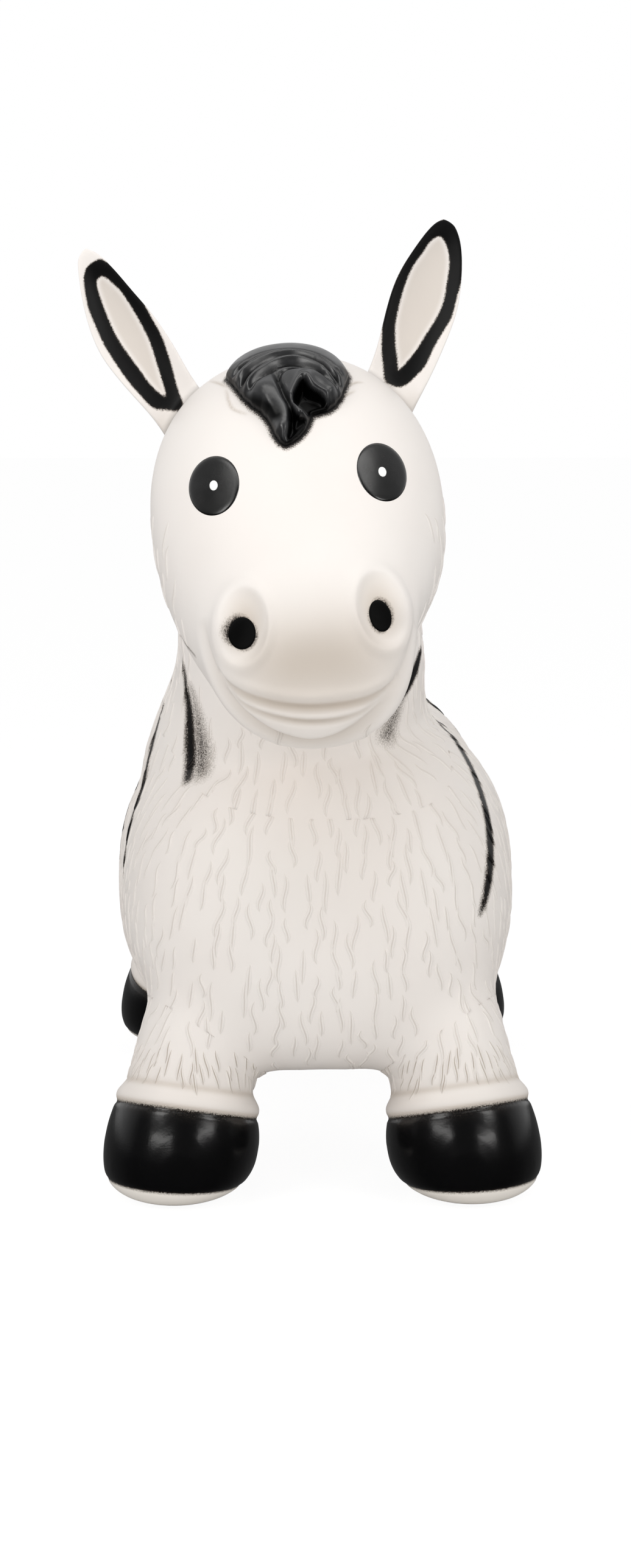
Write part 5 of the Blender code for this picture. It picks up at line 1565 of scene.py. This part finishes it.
stroke_count = 0
for number, (name, mesh) in enumerate(open_pieces.items()):
    coats = [strokes_on(f"coat_{name}", mesh, "fur", COAT, COAT_SEED + number)]
    if name.startswith("leg"):
        coats.append(strokes_on(f"fringe_{name}", mesh, "fringe", FRINGE, FRINGE_SEED + number))
    strokes = joined(f"moulded_fur_{name}", coats)
    stroke_count += len(strokes.data.polygons) // ((STROKE_COLUMNS - 1) * (STROKE_ROWS - 1))
    if name == "torso":
        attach(strokes, "body")
    elif name == "head":
        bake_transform(strokes)
    else:
        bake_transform(strokes)
print("strokes of fur", stroke_count)

# %% [markdown]
# ## Ears
# The ears are the handles. Each is a leaf, hollow in front and round at the back, with a black ring
# sprayed inside. The edges of both leaves are lines in the photograph, and the rays through them are
# cut by the plane that the solid ear lies in. A loft runs between the two edges, and its foot widens
# into the head.

# %% Edges and rings of the ears
# Pixels from the tip down, of the edge away from the head and of the edge beside the forelock
EAR_EDGES = {
    "right": (
        ((144, 410), (134, 413), (129, 422), (128, 436), (133, 480), (143, 527), (157, 567), (173, 596),
         (198, 627), (229, 663), (254, 688), (271, 711)),
        ((144, 410), (156, 414), (169, 424), (194, 450), (219, 480), (244, 508), (269, 542), (291, 577),
         (305, 603), (316, 623), (326, 636)),
    ),
    "left": (
        ((728, 361), (742, 366), (753, 387), (758, 416), (758, 452), (755, 487), (749, 517), (740, 543),
         (728, 572), (714, 605), (698, 637), (683, 661), (673, 678)),
        ((728, 361), (717, 365), (703, 378), (689, 396), (671, 422), (653, 452), (640, 487), (630, 525),
         (624, 552), (615, 584), (607, 603)),
    ),
}
# Pixels round the outside and the inside of each black ring
EAR_RINGS = {
    "right": (
        ((162, 427), (144, 439), (139, 455), (140, 474), (146, 505), (157, 533), (171, 564), (188, 592),
         (210, 624), (229, 646), (244, 663), (257, 671), (273, 672), (285, 674), (295, 673), (299, 662),
         (294, 649), (288, 630), (280, 599), (272, 574), (263, 550), (247, 521), (229, 489), (207, 463),
         (185, 439), (172, 430)),
        ((166, 453), (158, 461), (159, 474), (166, 496), (174, 517), (188, 549), (204, 575), (226, 605),
         (244, 630), (260, 646), (271, 652), (273, 645), (266, 621), (257, 592), (247, 561), (235, 536),
         (219, 508), (201, 480), (185, 464), (174, 455)),
    ),
    "left": (
        ((728, 361), (742, 365), (751, 378), (757, 399), (759, 422), (757, 458), (751, 481), (742, 516),
         (733, 534), (712, 569), (698, 599), (683, 616), (668, 630), (654, 635), (640, 631), (632, 622),
         (631, 605), (628, 581), (628, 552), (630, 522), (639, 490), (653, 455), (671, 422), (691, 393),
         (709, 371)),
        ((721, 387), (731, 396), (737, 414), (739, 434), (735, 464), (730, 493), (718, 522), (701, 549),
         (683, 578), (668, 596), (654, 609), (651, 590), (648, 564), (648, 534), (652, 511), (658, 487),
         (665, 464), (677, 437), (692, 416), (706, 396)),
    ),
}
print("points of the ears' edges", sum(len(edge) for pair in EAR_EDGES.values() for edge in pair))

# %% Where an ear stands
EAR_ROOT_SHARES = (0.669, 0.776, 0.819)
EAR_SPREAD, EAR_LEAN_BACK, EAR_SWAY = 25.0, 4.0, 2.5
EDGE_STEPS = 4


def ear_frame(side):
    """Root, axis, across and rear directions of an ear."""
    spread = math.radians(EAR_SPREAD - side * EAR_SWAY)
    axis = Vector((side * math.tan(spread), math.tan(math.radians(EAR_LEAN_BACK)), 1.0)).normalized()
    across = (SIDE - axis * SIDE.dot(axis)).normalized()
    turn = HEAD_POSE.to_3x3()
    root = HEAD_POSE @ on_head(side * EAR_ROOT_SHARES[0], EAR_ROOT_SHARES[1], EAR_ROOT_SHARES[2])
    return root, turn @ axis, turn @ across, turn @ axis.cross(across)


def on_ear_plane(pixels, frame_of_ear):
    """Along and across the ear, where rays through pixels meet the plane it lies in."""
    root, axis, across, rear = frame_of_ear
    made = []
    for u, v in eased_rows(pixels, EDGE_STEPS):
        ray = CAMERA_MATRIX.to_3x3() @ through_pixel(u, v)
        reach = (root - CAMERA_PLACE).dot(rear) / ray.dot(rear)
        offset = CAMERA_PLACE + ray * reach - root
        made.append((offset.dot(axis), offset.dot(across)))
    return np.array(made)


# %% Smooth edges of an ear
# Rows of an edge that its line below the foot follows, and reach and count of the smoothing
FOOT_ROWS, SMOOTH_REACH, SMOOTH_COUNT = 6, 4, 2


def edge_across(edge, heights):
    """Across values of an ear's edge at heights, going on in a line below its foot."""
    order = np.argsort(edge[:, 0])
    along, across = edge[order, 0], edge[order, 1]
    found = np.interp(heights, along, across)
    slope = (across[FOOT_ROWS] - across[0]) / max(along[FOOT_ROWS] - along[0], 1e-6)
    return np.where(heights < along[0], across[0] + slope * (heights - along[0]), found)


def smoothed(values):
    """A row of values without small kinks, with both of its ends kept."""
    reach = SMOOTH_REACH
    for turn in range(SMOOTH_COUNT):
        before = 2.0 * values[0] - values[reach:0:-1]
        after = 2.0 * values[-1] - values[-2:-reach - 2:-1]
        padded = np.concatenate([before, values, after])
        values = np.convolve(padded, np.full(2 * reach + 1, 1.0 / (2 * reach + 1)), mode="valid")
    return values


# %% Form of an ear
EAR_LENGTH, EAR_THICKNESS, EAR_BULGE = 0.115, 0.0085, 0.0075
EAR_ROWS, EAR_SIDES = 110, 96
EAR_EDGE_POWER = 0.62
# Where the ear is narrower than this half width, it gets thinner too
EAR_FULL_HALF_WIDTH = 0.011
EAR_TIP_GAP = 0.0001
# Share of the length, of half the thickness, of the bulge and of extra width at the foot
EAR_SWELL = (
    (-0.16, 2.9, 0.00, 0.30),
    (-0.08, 2.5, 0.10, 0.22),
    (0.00, 2.0, 0.25, 0.12),
    (0.10, 1.5, 0.55, 0.04),
    (0.22, 1.15, 0.85, 0.00),
    (0.40, 1.00, 1.00, 0.00),
    (0.60, 0.92, 1.05, 0.00),
    (0.80, 0.82, 0.85, 0.00),
    (0.94, 0.62, 0.35, 0.00),
    (1.00, 0.40, 0.05, 0.00),
)
EAR_SWELL_STEPS = 8


def ear_outline(centre, half_width, across, rear, thick, bulge):
    """One closed outline across an ear, hollow in front and round at the back."""
    slim = min(1.0, half_width / EAR_FULL_HALF_WIDTH)
    points = []
    for index in range(EAR_SIDES):
        angle = math.tau * index / EAR_SIDES
        out = math.cos(angle)
        depth = signed_power(math.sin(angle), EAR_EDGE_POWER) * thick * EAR_THICKNESS / 2.0 * slim**0.5
        depth += (1.0 - out * out) * bulge * EAR_BULGE * slim
        points.append(centre + across * (out * half_width) + rear * depth)
    return points


def ear_form(hand, frame_of_ear):
    root, axis, across, rear = frame_of_ear
    outer, inner = [on_ear_plane(edge, frame_of_ear) for edge in EAR_EDGES[hand]]
    top = max(outer[:, 0].max(), inner[:, 0].max())
    bottom = EAR_SWELL[0][0] * EAR_LENGTH
    # Rows crowd towards the tip, where the outline turns fast
    crowding = np.sin(np.linspace(0.0, math.pi / 2.0, EAR_ROWS))
    heights = bottom + (top - EAR_TIP_GAP - bottom) * crowding
    away, beside = [smoothed(edge_across(edge, heights)) for edge in (outer, inner)]
    table = np.array(eased_rows(EAR_SWELL, EAR_SWELL_STEPS))
    outlines = []
    for height, one, other in zip(heights, away, beside):
        thick, bulge, wider = [
            np.interp(height / top, table[:, 0], table[:, column]) for column in (1, 2, 3)]
        centre = root + axis * height + across * ((one + other) / 2.0)
        half_width = abs(one - other) / 2.0 * (1.0 + wider)
        outlines.append(ear_outline(centre, half_width, across, rear, thick, bulge))
    return to_mesh(loft(outlines), f"ear_{hand}")


# %% Paint and finish of the ears
# The black ring has soft edges, given in mm. A thin tan lies within it, and painted shade lies at
# the foot, where the ear meets the head
RING_OUTSIDE, RING_INSIDE, WITHIN_RING = (-1.6, 1.0), (-1.0, 1.6), (0.0, 4.0)
EAR_FRONT_FACING, RING_STEPS = 0.15, 3
EAR_SHADE, EAR_FOOT_SHADE, EAR_FOOT = 0.34, 0.30, (0.004, 0.022)
# Distance from the head within which an ear's facings lean to the head's
BLEND_LENGTH_SHARE, BLEND_GAP = 0.35, 0.0045


def paint_ear(mesh, hand, frame_of_ear):
    root, axis, across, rear = [np.array(part) for part in frame_of_ear]
    places = places_of(mesh)
    pixels = on_photo(places)
    front_face = facings_of(mesh) @ rear < EAR_FRONT_FACING
    outside, inside = [
        inside_shape(pixels, closed_curve(ring, RING_STEPS)) / PIXELS_PER_MM for ring in EAR_RINGS[hand]]
    cover = ramp(outside, *RING_OUTSIDE) * (1.0 - ramp(inside, *RING_INSIDE))
    foot = 1.0 - ramp((places - root) @ axis, *EAR_FOOT)
    keep_on(mesh, "paint", np.where(front_face, cover, 0.0))
    shade = EAR_SHADE * ramp(inside, *WITHIN_RING) + EAR_FOOT_SHADE * foot
    keep_on(mesh, "shade", np.where(front_face, shade, 0.0))


def facings_into_head(mesh, root, axis):
    """Facings that lean to the head's own near it, so that the foot grows out of the head."""
    places, facings = places_of(mesh), facings_of(mesh)
    heights = (places - np.array(root)) @ np.array(axis)
    for index in np.flatnonzero(heights < BLEND_LENGTH_SHARE * EAR_LENGTH):
        point, facing, face, gap = detailed_skin.find_nearest(Vector(places[index]))
        weight = math.exp(-((gap / BLEND_GAP) ** 2))
        mixed = Vector(facings[index]) * (1.0 - weight) + facing * weight
        facings[index] = mixed.normalized()
    return facings


for hand, side in HANDS:
    frame_of_ear = ear_frame(side)
    root, axis, across, rear = frame_of_ear
    mesh = ear_form(hand, frame_of_ear)
    paint_ear(mesh, hand, frame_of_ear)
    facings = facings_into_head(mesh, root, axis)
    ear = smooth_object(f"ear_leaf_{hand}", mesh, skin_pvc)
    corners = values_of(mesh.loops, "vertex_index", 1, np.int32)[:, 0]
    mesh.normals_split_custom_set(facings[corners].tolist())
    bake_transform(ear)
    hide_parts(f"ear_{hand}")
    print(ear.name, len(mesh.polygons), "faces")

# %% [markdown]
# ## Black hair, eyes and nostrils
# The forelock, mane and tail carry a thick coat of the black ink, with a satin shine that shows each
# fold. The mane is a crest along the nape and the tail lies on the rump. Both are ridges that follow
# the skin, combed into strands that cross them at a slant. The eyes and nostrils are pad prints.

# %% Black satin ink
# Mottle of the brush is 8 mm across, and the ink's own grain 1.1 mm
MOTTLE_SCALE, INK_GRAIN_SCALE = 120.0, 900.0
INK_GRAIN_DEPTH, INK_GRAIN_STRENGTH = 0.00005, 0.4
INK_IOR = 1.5
# Colour of the painted shade in the hair, and the share of its shine that it keeps
HAIR_SHADE_CODE, HAIR_SHADE_SHINE = "#010101", 0.12


def satin_ink(name, base_code, mottle_code, dull, shine, level):
    """Thick vinyl ink on soft PVC, with a faint mottle from the brush and painted shade where the mesh
    keeps it.
    """
    made, tree = begin_material(name, base_code)
    place = add(tree, "ShaderNodeTexCoord").outputs["Object"]
    mixed, mottle = two_tones(tree, place, (base_code, mottle_code), MOTTLE_SCALE, 4.0)
    # Painted shade in the folds of the hair is deep black and barely shines
    hair_shade = add(tree, "ShaderNodeAttribute", attribute_name="hair_shade").outputs["Fac"]
    tone = add(tree, MIX, {
        MIX_FACTOR: hair_shade, MIX_A: mixed, MIX_B: colour(HAIR_SHADE_CODE)}, data_type="RGBA")
    sheen = add(tree, FIT, {"Value": hair_shade, "To Min": level, "To Max": level * HAIR_SHADE_SHINE})
    rough = add(tree, FIT, {
        "Value": mottle, "From Min": 0.3, "From Max": 0.7, "To Min": shine, "To Max": dull})
    relief = fine_grain(tree, place, INK_GRAIN_SCALE, 2.0, INK_GRAIN_DEPTH, INK_GRAIN_STRENGTH)
    shader = add(tree, "ShaderNodeBsdfPrincipled", {
        "Base Color": tone.outputs[MIX_RESULT], "Roughness": rough, "Normal": relief,
        "IOR": INK_IOR, "Specular IOR Level": sheen})
    add(tree, "ShaderNodeOutputMaterial", {"Surface": shader})
    return made


hair_ink = satin_ink("brushed_black_vinyl_ink", "#19191B", "#27282A", 0.38, 0.29, 1.0)
print_ink = satin_ink("pad_printed_black_ink", "#050505", "#0A0A0A", 0.29, 0.24, 0.85)
nostril_ink = satin_ink("matt_black_vinyl_ink", "#040404", "#080808", 0.60, 0.55, 0.10)
glint_ink = satin_ink("pad_printed_white_ink", "#F4F4F2", "#FFFFFF", 0.50, 0.45, 0.40)

forelock = smooth_object("forelock_hair", forelock_mesh, hair_ink)
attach(forelock, "head")
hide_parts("forelock")
print("inks", [made.name for made in (hair_ink, print_ink, nostril_ink, glint_ink)])

# %% A combed crest
CREST_SIDES, CREST_SQUARENESS = 72, 2.0
# The crest is lowest at its ends, and its comb fades out there
CREST_LEAST, CREST_POWER = 0.30, 0.4
COMB_END, COMB_POWER = 0.02, 0.3
# Fine waves over the strands: their share of the comb's depth, and their counts round and along it
FINE_SHARE, FINE_ROUND, FINE_ALONG = 0.3, 9.0, 4.0


def crest(name, spine, proud, sink, strands, slant, depth):
    """A rounded ridge along places, facings and widths on the skin, combed into slanting strands."""
    points = [row[0] for row in spine]
    last = len(points) - 1
    length = sum((end - start).length for start, end in zip(points, points[1:]))
    outlines = []
    travelled = 0.0
    for index, (point, out, width) in enumerate(spine):
        heading = (points[min(index + 1, last)] - points[max(index - 1, 0)]).normalized()
        out = (out - heading * out.dot(heading)).normalized()
        across = heading.cross(out)
        if index:
            travelled += (point - points[index - 1]).length
        fade = math.sin(math.pi * min(max(index / last, COMB_END), 1.0 - COMB_END)) ** COMB_POWER
        swell = CREST_LEAST + (1.0 - CREST_LEAST) * swelling(0.0, 1.0, index / last, CREST_POWER)
        outline = section(
            point, across * width, out * proud * swell, -out * sink, CREST_SQUARENESS, CREST_SIDES)
        for number, corner in enumerate(outline):
            angle = math.tau * number / CREST_SIDES
            along = math.tau * travelled / length
            comb = abs(math.sin(strands * along + slant * math.cos(angle))) - 0.5
            fine = FINE_SHARE * math.sin(FINE_ROUND * angle + FINE_ALONG * along)
            outline[number] = corner + (corner - point).normalized() * depth * fade * (comb + fine)
        outlines.append(outline)
    return smooth_object(name, to_mesh(loft(outlines), name), hair_ink)


# %% Mane
MANE_WIDTH, MANE_PROUD, MANE_SINK = 0.030, 0.015, 0.007
# Rays from a hub in the head find the mane's line, from the crown to an angle behind it
MANE_HUB = HEAD_POSE @ on_head(0.0, 0.824, 0.362)
MANE_END, MANE_STEPS = 99.0, 150
MANE_WAVE_SHARE, MANE_WAVES = 0.16, 5.0
MANE_FULLNESS = (0.03, 0.985)
MANE_FULL_POWER = 0.42
# Strands along a crest, their slant in radians and their depth in metres
MANE_COMB, TAIL_COMB = (9.0, 2.2, 0.0022), (3.0, 5.0, 0.0020)
spine = []
for step in range(MANE_STEPS + 1):
    t = step / MANE_STEPS
    angle = math.radians(MANE_END * t)
    direction = HEAD_POSE.to_3x3() @ Vector((0.0, math.sin(angle), math.cos(angle)))
    point, out = smooth_skin.ray_cast(MANE_HUB, direction)[:2]
    wave = 1.0 + MANE_WAVE_SHARE * math.cos(math.tau * MANE_WAVES * t)
    spine.append((point, out, MANE_WIDTH / 2.0 * wave * swelling(*MANE_FULLNESS, t, MANE_FULL_POWER)))
mane = crest("mane_hair", spine, MANE_PROUD, MANE_SINK, *MANE_COMB)
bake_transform(mane)
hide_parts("mane")
print("mane", len(mane.data.polygons), "faces")

# %% Tail
TAIL_WIDTH, TAIL_PROUD, TAIL_SINK = 0.036, 0.016, 0.008
TAIL_TOP_Z, TAIL_LENGTH, TAIL_STEPS = 0.238, 0.120, 16
REAR_Y = LEG_ENDS[1][2]
# Share of the length down the tail, and of half its width
TAIL_SHARES = (
    (0.00, 0.42), (0.12, 0.56), (0.35, 0.60), (0.55, 0.72), (0.75, 1.00), (0.90, 0.80), (1.00, 0.30),
)
spine = []
for down, wide in eased_rows(TAIL_SHARES, TAIL_STEPS):
    hub = Vector((TORSO_X, REAR_Y, TAIL_TOP_Z - down * TAIL_LENGTH))
    point, out = smooth_skin.ray_cast(hub, Vector((0.0, 1.0, 0.0)))[:2]
    spine.append((point, out, TAIL_WIDTH / 2.0 * wide))
tail = crest("tail_hair", spine, TAIL_PROUD, TAIL_SINK, *TAIL_COMB)
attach(tail, "body")
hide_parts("tail")
print("tail", len(tail.data.polygons), "faces")

# %% Oval prints
# Width and height in metres and lean in degrees
EYE = (0.0264, 0.0318, 25.0)
GLINT = (0.0045, 0.0055, 15.0)
EYE_SHARES = (0.5515, 0.681)
# Heights of a print's back and front from the skin
PRINT_LEVELS, GLINT_LEVELS = (-0.0010, 0.0004), (0.0002, 0.0007)
PRINT_RINGS, PRINT_SIDES = 14, 72
# The outer part of a print's front thins out, down to a small share at its edge
THINNING_START, THINNING = 0.9, 0.85


def print_ring(at, size, turn, reach, lift):
    """Places on the face round one oval of a print, or one place for its middle."""
    ahead = HEAD_POSE.to_3x3() @ Vector((0.0, 1.0, 0.0))
    thinning = THINNING * max(reach - THINNING_START, 0.0) / (1.0 - THINNING_START)
    height = lift if lift < 0.0 else lift * (1.0 - thinning)
    ring = []
    for index in range(PRINT_SIDES if reach else 1):
        angle = math.tau * index / PRINT_SIDES
        x = reach * math.cos(angle) * size[0] / 2.0
        z = reach * math.sin(angle) * size[1] / 2.0
        local = Vector((
            at.x + x * math.cos(turn) - z * math.sin(turn), HEAD_MUZZLE_Y - HEAD_LENGTH,
            at.z + x * math.sin(turn) + z * math.cos(turn)))
        point, facing = detailed_skin.ray_cast(HEAD_POSE @ local, ahead)[:2]
        ring.append(point + facing * height)
    return ring


def face_print(name, at, size, side, levels, look, node):
    """A thin oval that follows the face, seen straight from the front."""
    turn = math.radians(size[2]) * side
    work = bmesh.new()
    sheets = []
    for lift in levels:
        rings = [print_ring(at, size, turn, ring / PRINT_RINGS, lift) for ring in range(PRINT_RINGS + 1)]
        sheets.append([[work.verts.new(point) for point in ring] for ring in rings])
    back, front = sheets
    for index in range(PRINT_SIDES):
        follow = (index + 1) % PRINT_SIDES
        for rings in sheets:
            work.faces.new((rings[0][0], rings[1][index], rings[1][follow]))
            for first, second in zip(rings[1:], rings[2:]):
                work.faces.new((first[index], second[index], second[follow], first[follow]))
        work.faces.new((back[-1][index], back[-1][follow], front[-1][follow], front[-1][index]))
    bmesh.ops.recalc_face_normals(work, faces=work.faces[:])
    made = smooth_object(name, to_mesh(work, name), look)
    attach(made, "head")
    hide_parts(node)


# %% Prints on the face
for hand, side in HANDS:
    at = on_head(side * EYE_SHARES[0], 0.0, EYE_SHARES[1])
    face_print(f"eye_print_{hand}", at, EYE, side, PRINT_LEVELS, print_ink, f"eye_{hand}")
    face_print(
        f"glint_print_{hand}", at, GLINT, side, GLINT_LEVELS, glint_ink, f"glint_{hand}")
    shift_x, shift_z, width = NOSTRIL_PRINTS[hand]
    at = nostril_at(side) + Vector((shift_x, 0.0, shift_z))
    nostril = (width, NOSTRIL_HEIGHT, NOSTRIL_LEAN)
    face_print(
        f"nostril_print_{hand}", at, nostril, side, PRINT_LEVELS, nostril_ink, f"nostril_{hand}")
print("sides of a print", PRINT_SIDES)

# %% Valve
VALVE_CLOUD_SCALE, VALVE_ROUGHNESS = 220.0, 0.38


def moulded_valve():
    """Injection-moulded clear PVC gone slightly grey, as on beach toys."""
    made, tree = begin_material("injection_moulded_valve_pvc", "#D6D3CC")
    place = add(tree, "ShaderNodeTexCoord").outputs["Object"]
    tone = two_tones(tree, place, ("#DCD9D2", "#CBC7BE"), VALVE_CLOUD_SCALE, 2.0)[0]
    shader = add(tree, "ShaderNodeBsdfPrincipled", {
        "Base Color": tone, "Roughness": VALVE_ROUGHNESS, "IOR": PVC_IOR})
    add(tree, "ShaderNodeOutputMaterial", {"Surface": shader})
    return made


valve_pvc = moulded_valve()
for name in ("valve_seat", "valve_plug"):
    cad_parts[name].data.materials.clear()
    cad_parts[name].data.materials.append(valve_pvc)
print("valve in", valve_pvc.name)

# %% [markdown]
# ## Light and floor
# A plain white sweep with large soft lights. To the camera and to reflections the backdrop is white.
# The room in front of the toy is darker, so its black parts stay black where they face the lens.

# %% Floor
FLOOR_REACH, FLOOR_Z = 12.0, -0.0004
# How much of the floor is plain white to the camera, and how bright that white is
FLOOR_WHITE_SHARE, FLOOR_WHITE = 0.86, 1.08
floor_mesh = bpy.data.meshes.new("floor")
corners = [(x * FLOOR_REACH, y * FLOOR_REACH, FLOOR_Z) for x, y in ((-1, -1), (1, -1), (1, 1), (-1, 1))]
floor_mesh.from_pydata(corners, [], [(0, 1, 2, 3)])
floor = new_object("floor", floor_mesh)
floor_look, tree = begin_material("white_studio_floor", "#FFFFFF")
light_path = add(tree, "ShaderNodeLightPath")
matt = add(tree, "ShaderNodeBsdfDiffuse", {"Color": colour("#F4F4F4")})
glow = add(tree, "ShaderNodeEmission", {"Color": colour("#FFFFFF"), "Strength": FLOOR_WHITE})
share = add(tree, MATH, (
    light_path.outputs["Is Camera Ray"], FLOOR_WHITE_SHARE), operation="MULTIPLY")
shader = add(tree, "ShaderNodeMixShader", (share, matt, glow))
add(tree, "ShaderNodeOutputMaterial", {"Surface": shader})
floor_mesh.materials.append(floor_look)
floor.visible_glossy = False
print("floor reaches", FLOOR_REACH, "metres")

# %% Room
# Strength of the room for soft light, and what reflections see of it: dark ahead of the toy and
# below it, bright behind and above. Each pair is the strength at the first and the second direction
ROOM_LIGHT = 0.48
REAR_FROM, REAR_TO = (0.25, -0.60), (0.04, 0.9)
HIGH_FROM, HIGH_TO = (0.05, -0.05), (0.1, 1.0)
world = bpy.data.worlds.new("studio")
bpy.context.scene.world = world
world.use_nodes = True
tree = world.node_tree
tree.nodes.clear()
light_path = add(tree, "ShaderNodeLightPath").outputs
# The incoming direction points from the room to the toy
incoming = add(tree, "ShaderNodeNewGeometry").outputs["Incoming"]
apart = add(tree, "ShaderNodeSeparateXYZ", {0: incoming}).outputs
rear, high = [
    add(tree, FIT, {
        "Value": apart[axis], "From Min": first, "From Max": second, "To Min": least, "To Max": most})
    for axis, (first, second), (least, most) in (("Y", REAR_FROM, REAR_TO), ("Z", HIGH_FROM, HIGH_TO))
]
behind = add(tree, MATH, (rear, high), operation="MULTIPLY")
glossy = add(tree, MATH, (light_path["Is Glossy Ray"], behind), operation="MULTIPLY")
clear = add(tree, MATH, (
    light_path["Is Camera Ray"], light_path["Is Transmission Ray"]), operation="MAXIMUM")
diffuse = add(tree, MATH, (
    light_path["Is Diffuse Ray"], ROOM_LIGHT), operation="MULTIPLY")
shown = add(tree, MATH, (glossy, clear), operation="MAXIMUM")
total = add(tree, MATH, (shown, diffuse), operation="MAXIMUM")
room = add(tree, "ShaderNodeBackground", {"Color": colour("#FFFFFF"), "Strength": total})
add(tree, "ShaderNodeOutputWorld", {"Surface": room})
print("soft light of the room", ROOM_LIGHT)

# %% Lights
AIM = Vector((0.0, -0.05, 0.28))
# Name, place, width and height in metres, and watts
LIGHTS = (
    ("softbox_left", Vector((-1.25, -1.35, 1.35)), 0.7, 0.9, 8.6),
    ("softbox_right", Vector((1.30, -1.30, 1.20)), 0.6, 0.8, 6.2),
    ("overhead", Vector((0.0, -0.62, 2.0)), 2.3, 0.6, 10.8),
    ("low_window_left", Vector((-1.05, -1.70, 0.46)), 1.1, 0.14, 2.6),
    ("low_window_right", Vector((1.12, -1.65, 0.45)), 0.9, 0.14, 2.2),
)
for name, place, width, height, watts in LIGHTS:
    lamp = bpy.data.lights.new(name, "AREA")
    lamp.shape = "RECTANGLE"
    lamp.size = width
    lamp.size_y = height
    lamp.energy = watts
    lamp.color = colour("#FFFEFC")[:3]
    holder = new_object(name, lamp)
    holder.location = place
    holder.rotation_euler = (AIM - place).to_track_quat("-Z", "Y").to_euler()
bpy.context.scene.view_settings.view_transform = "Standard"
print("lights", len(LIGHTS))
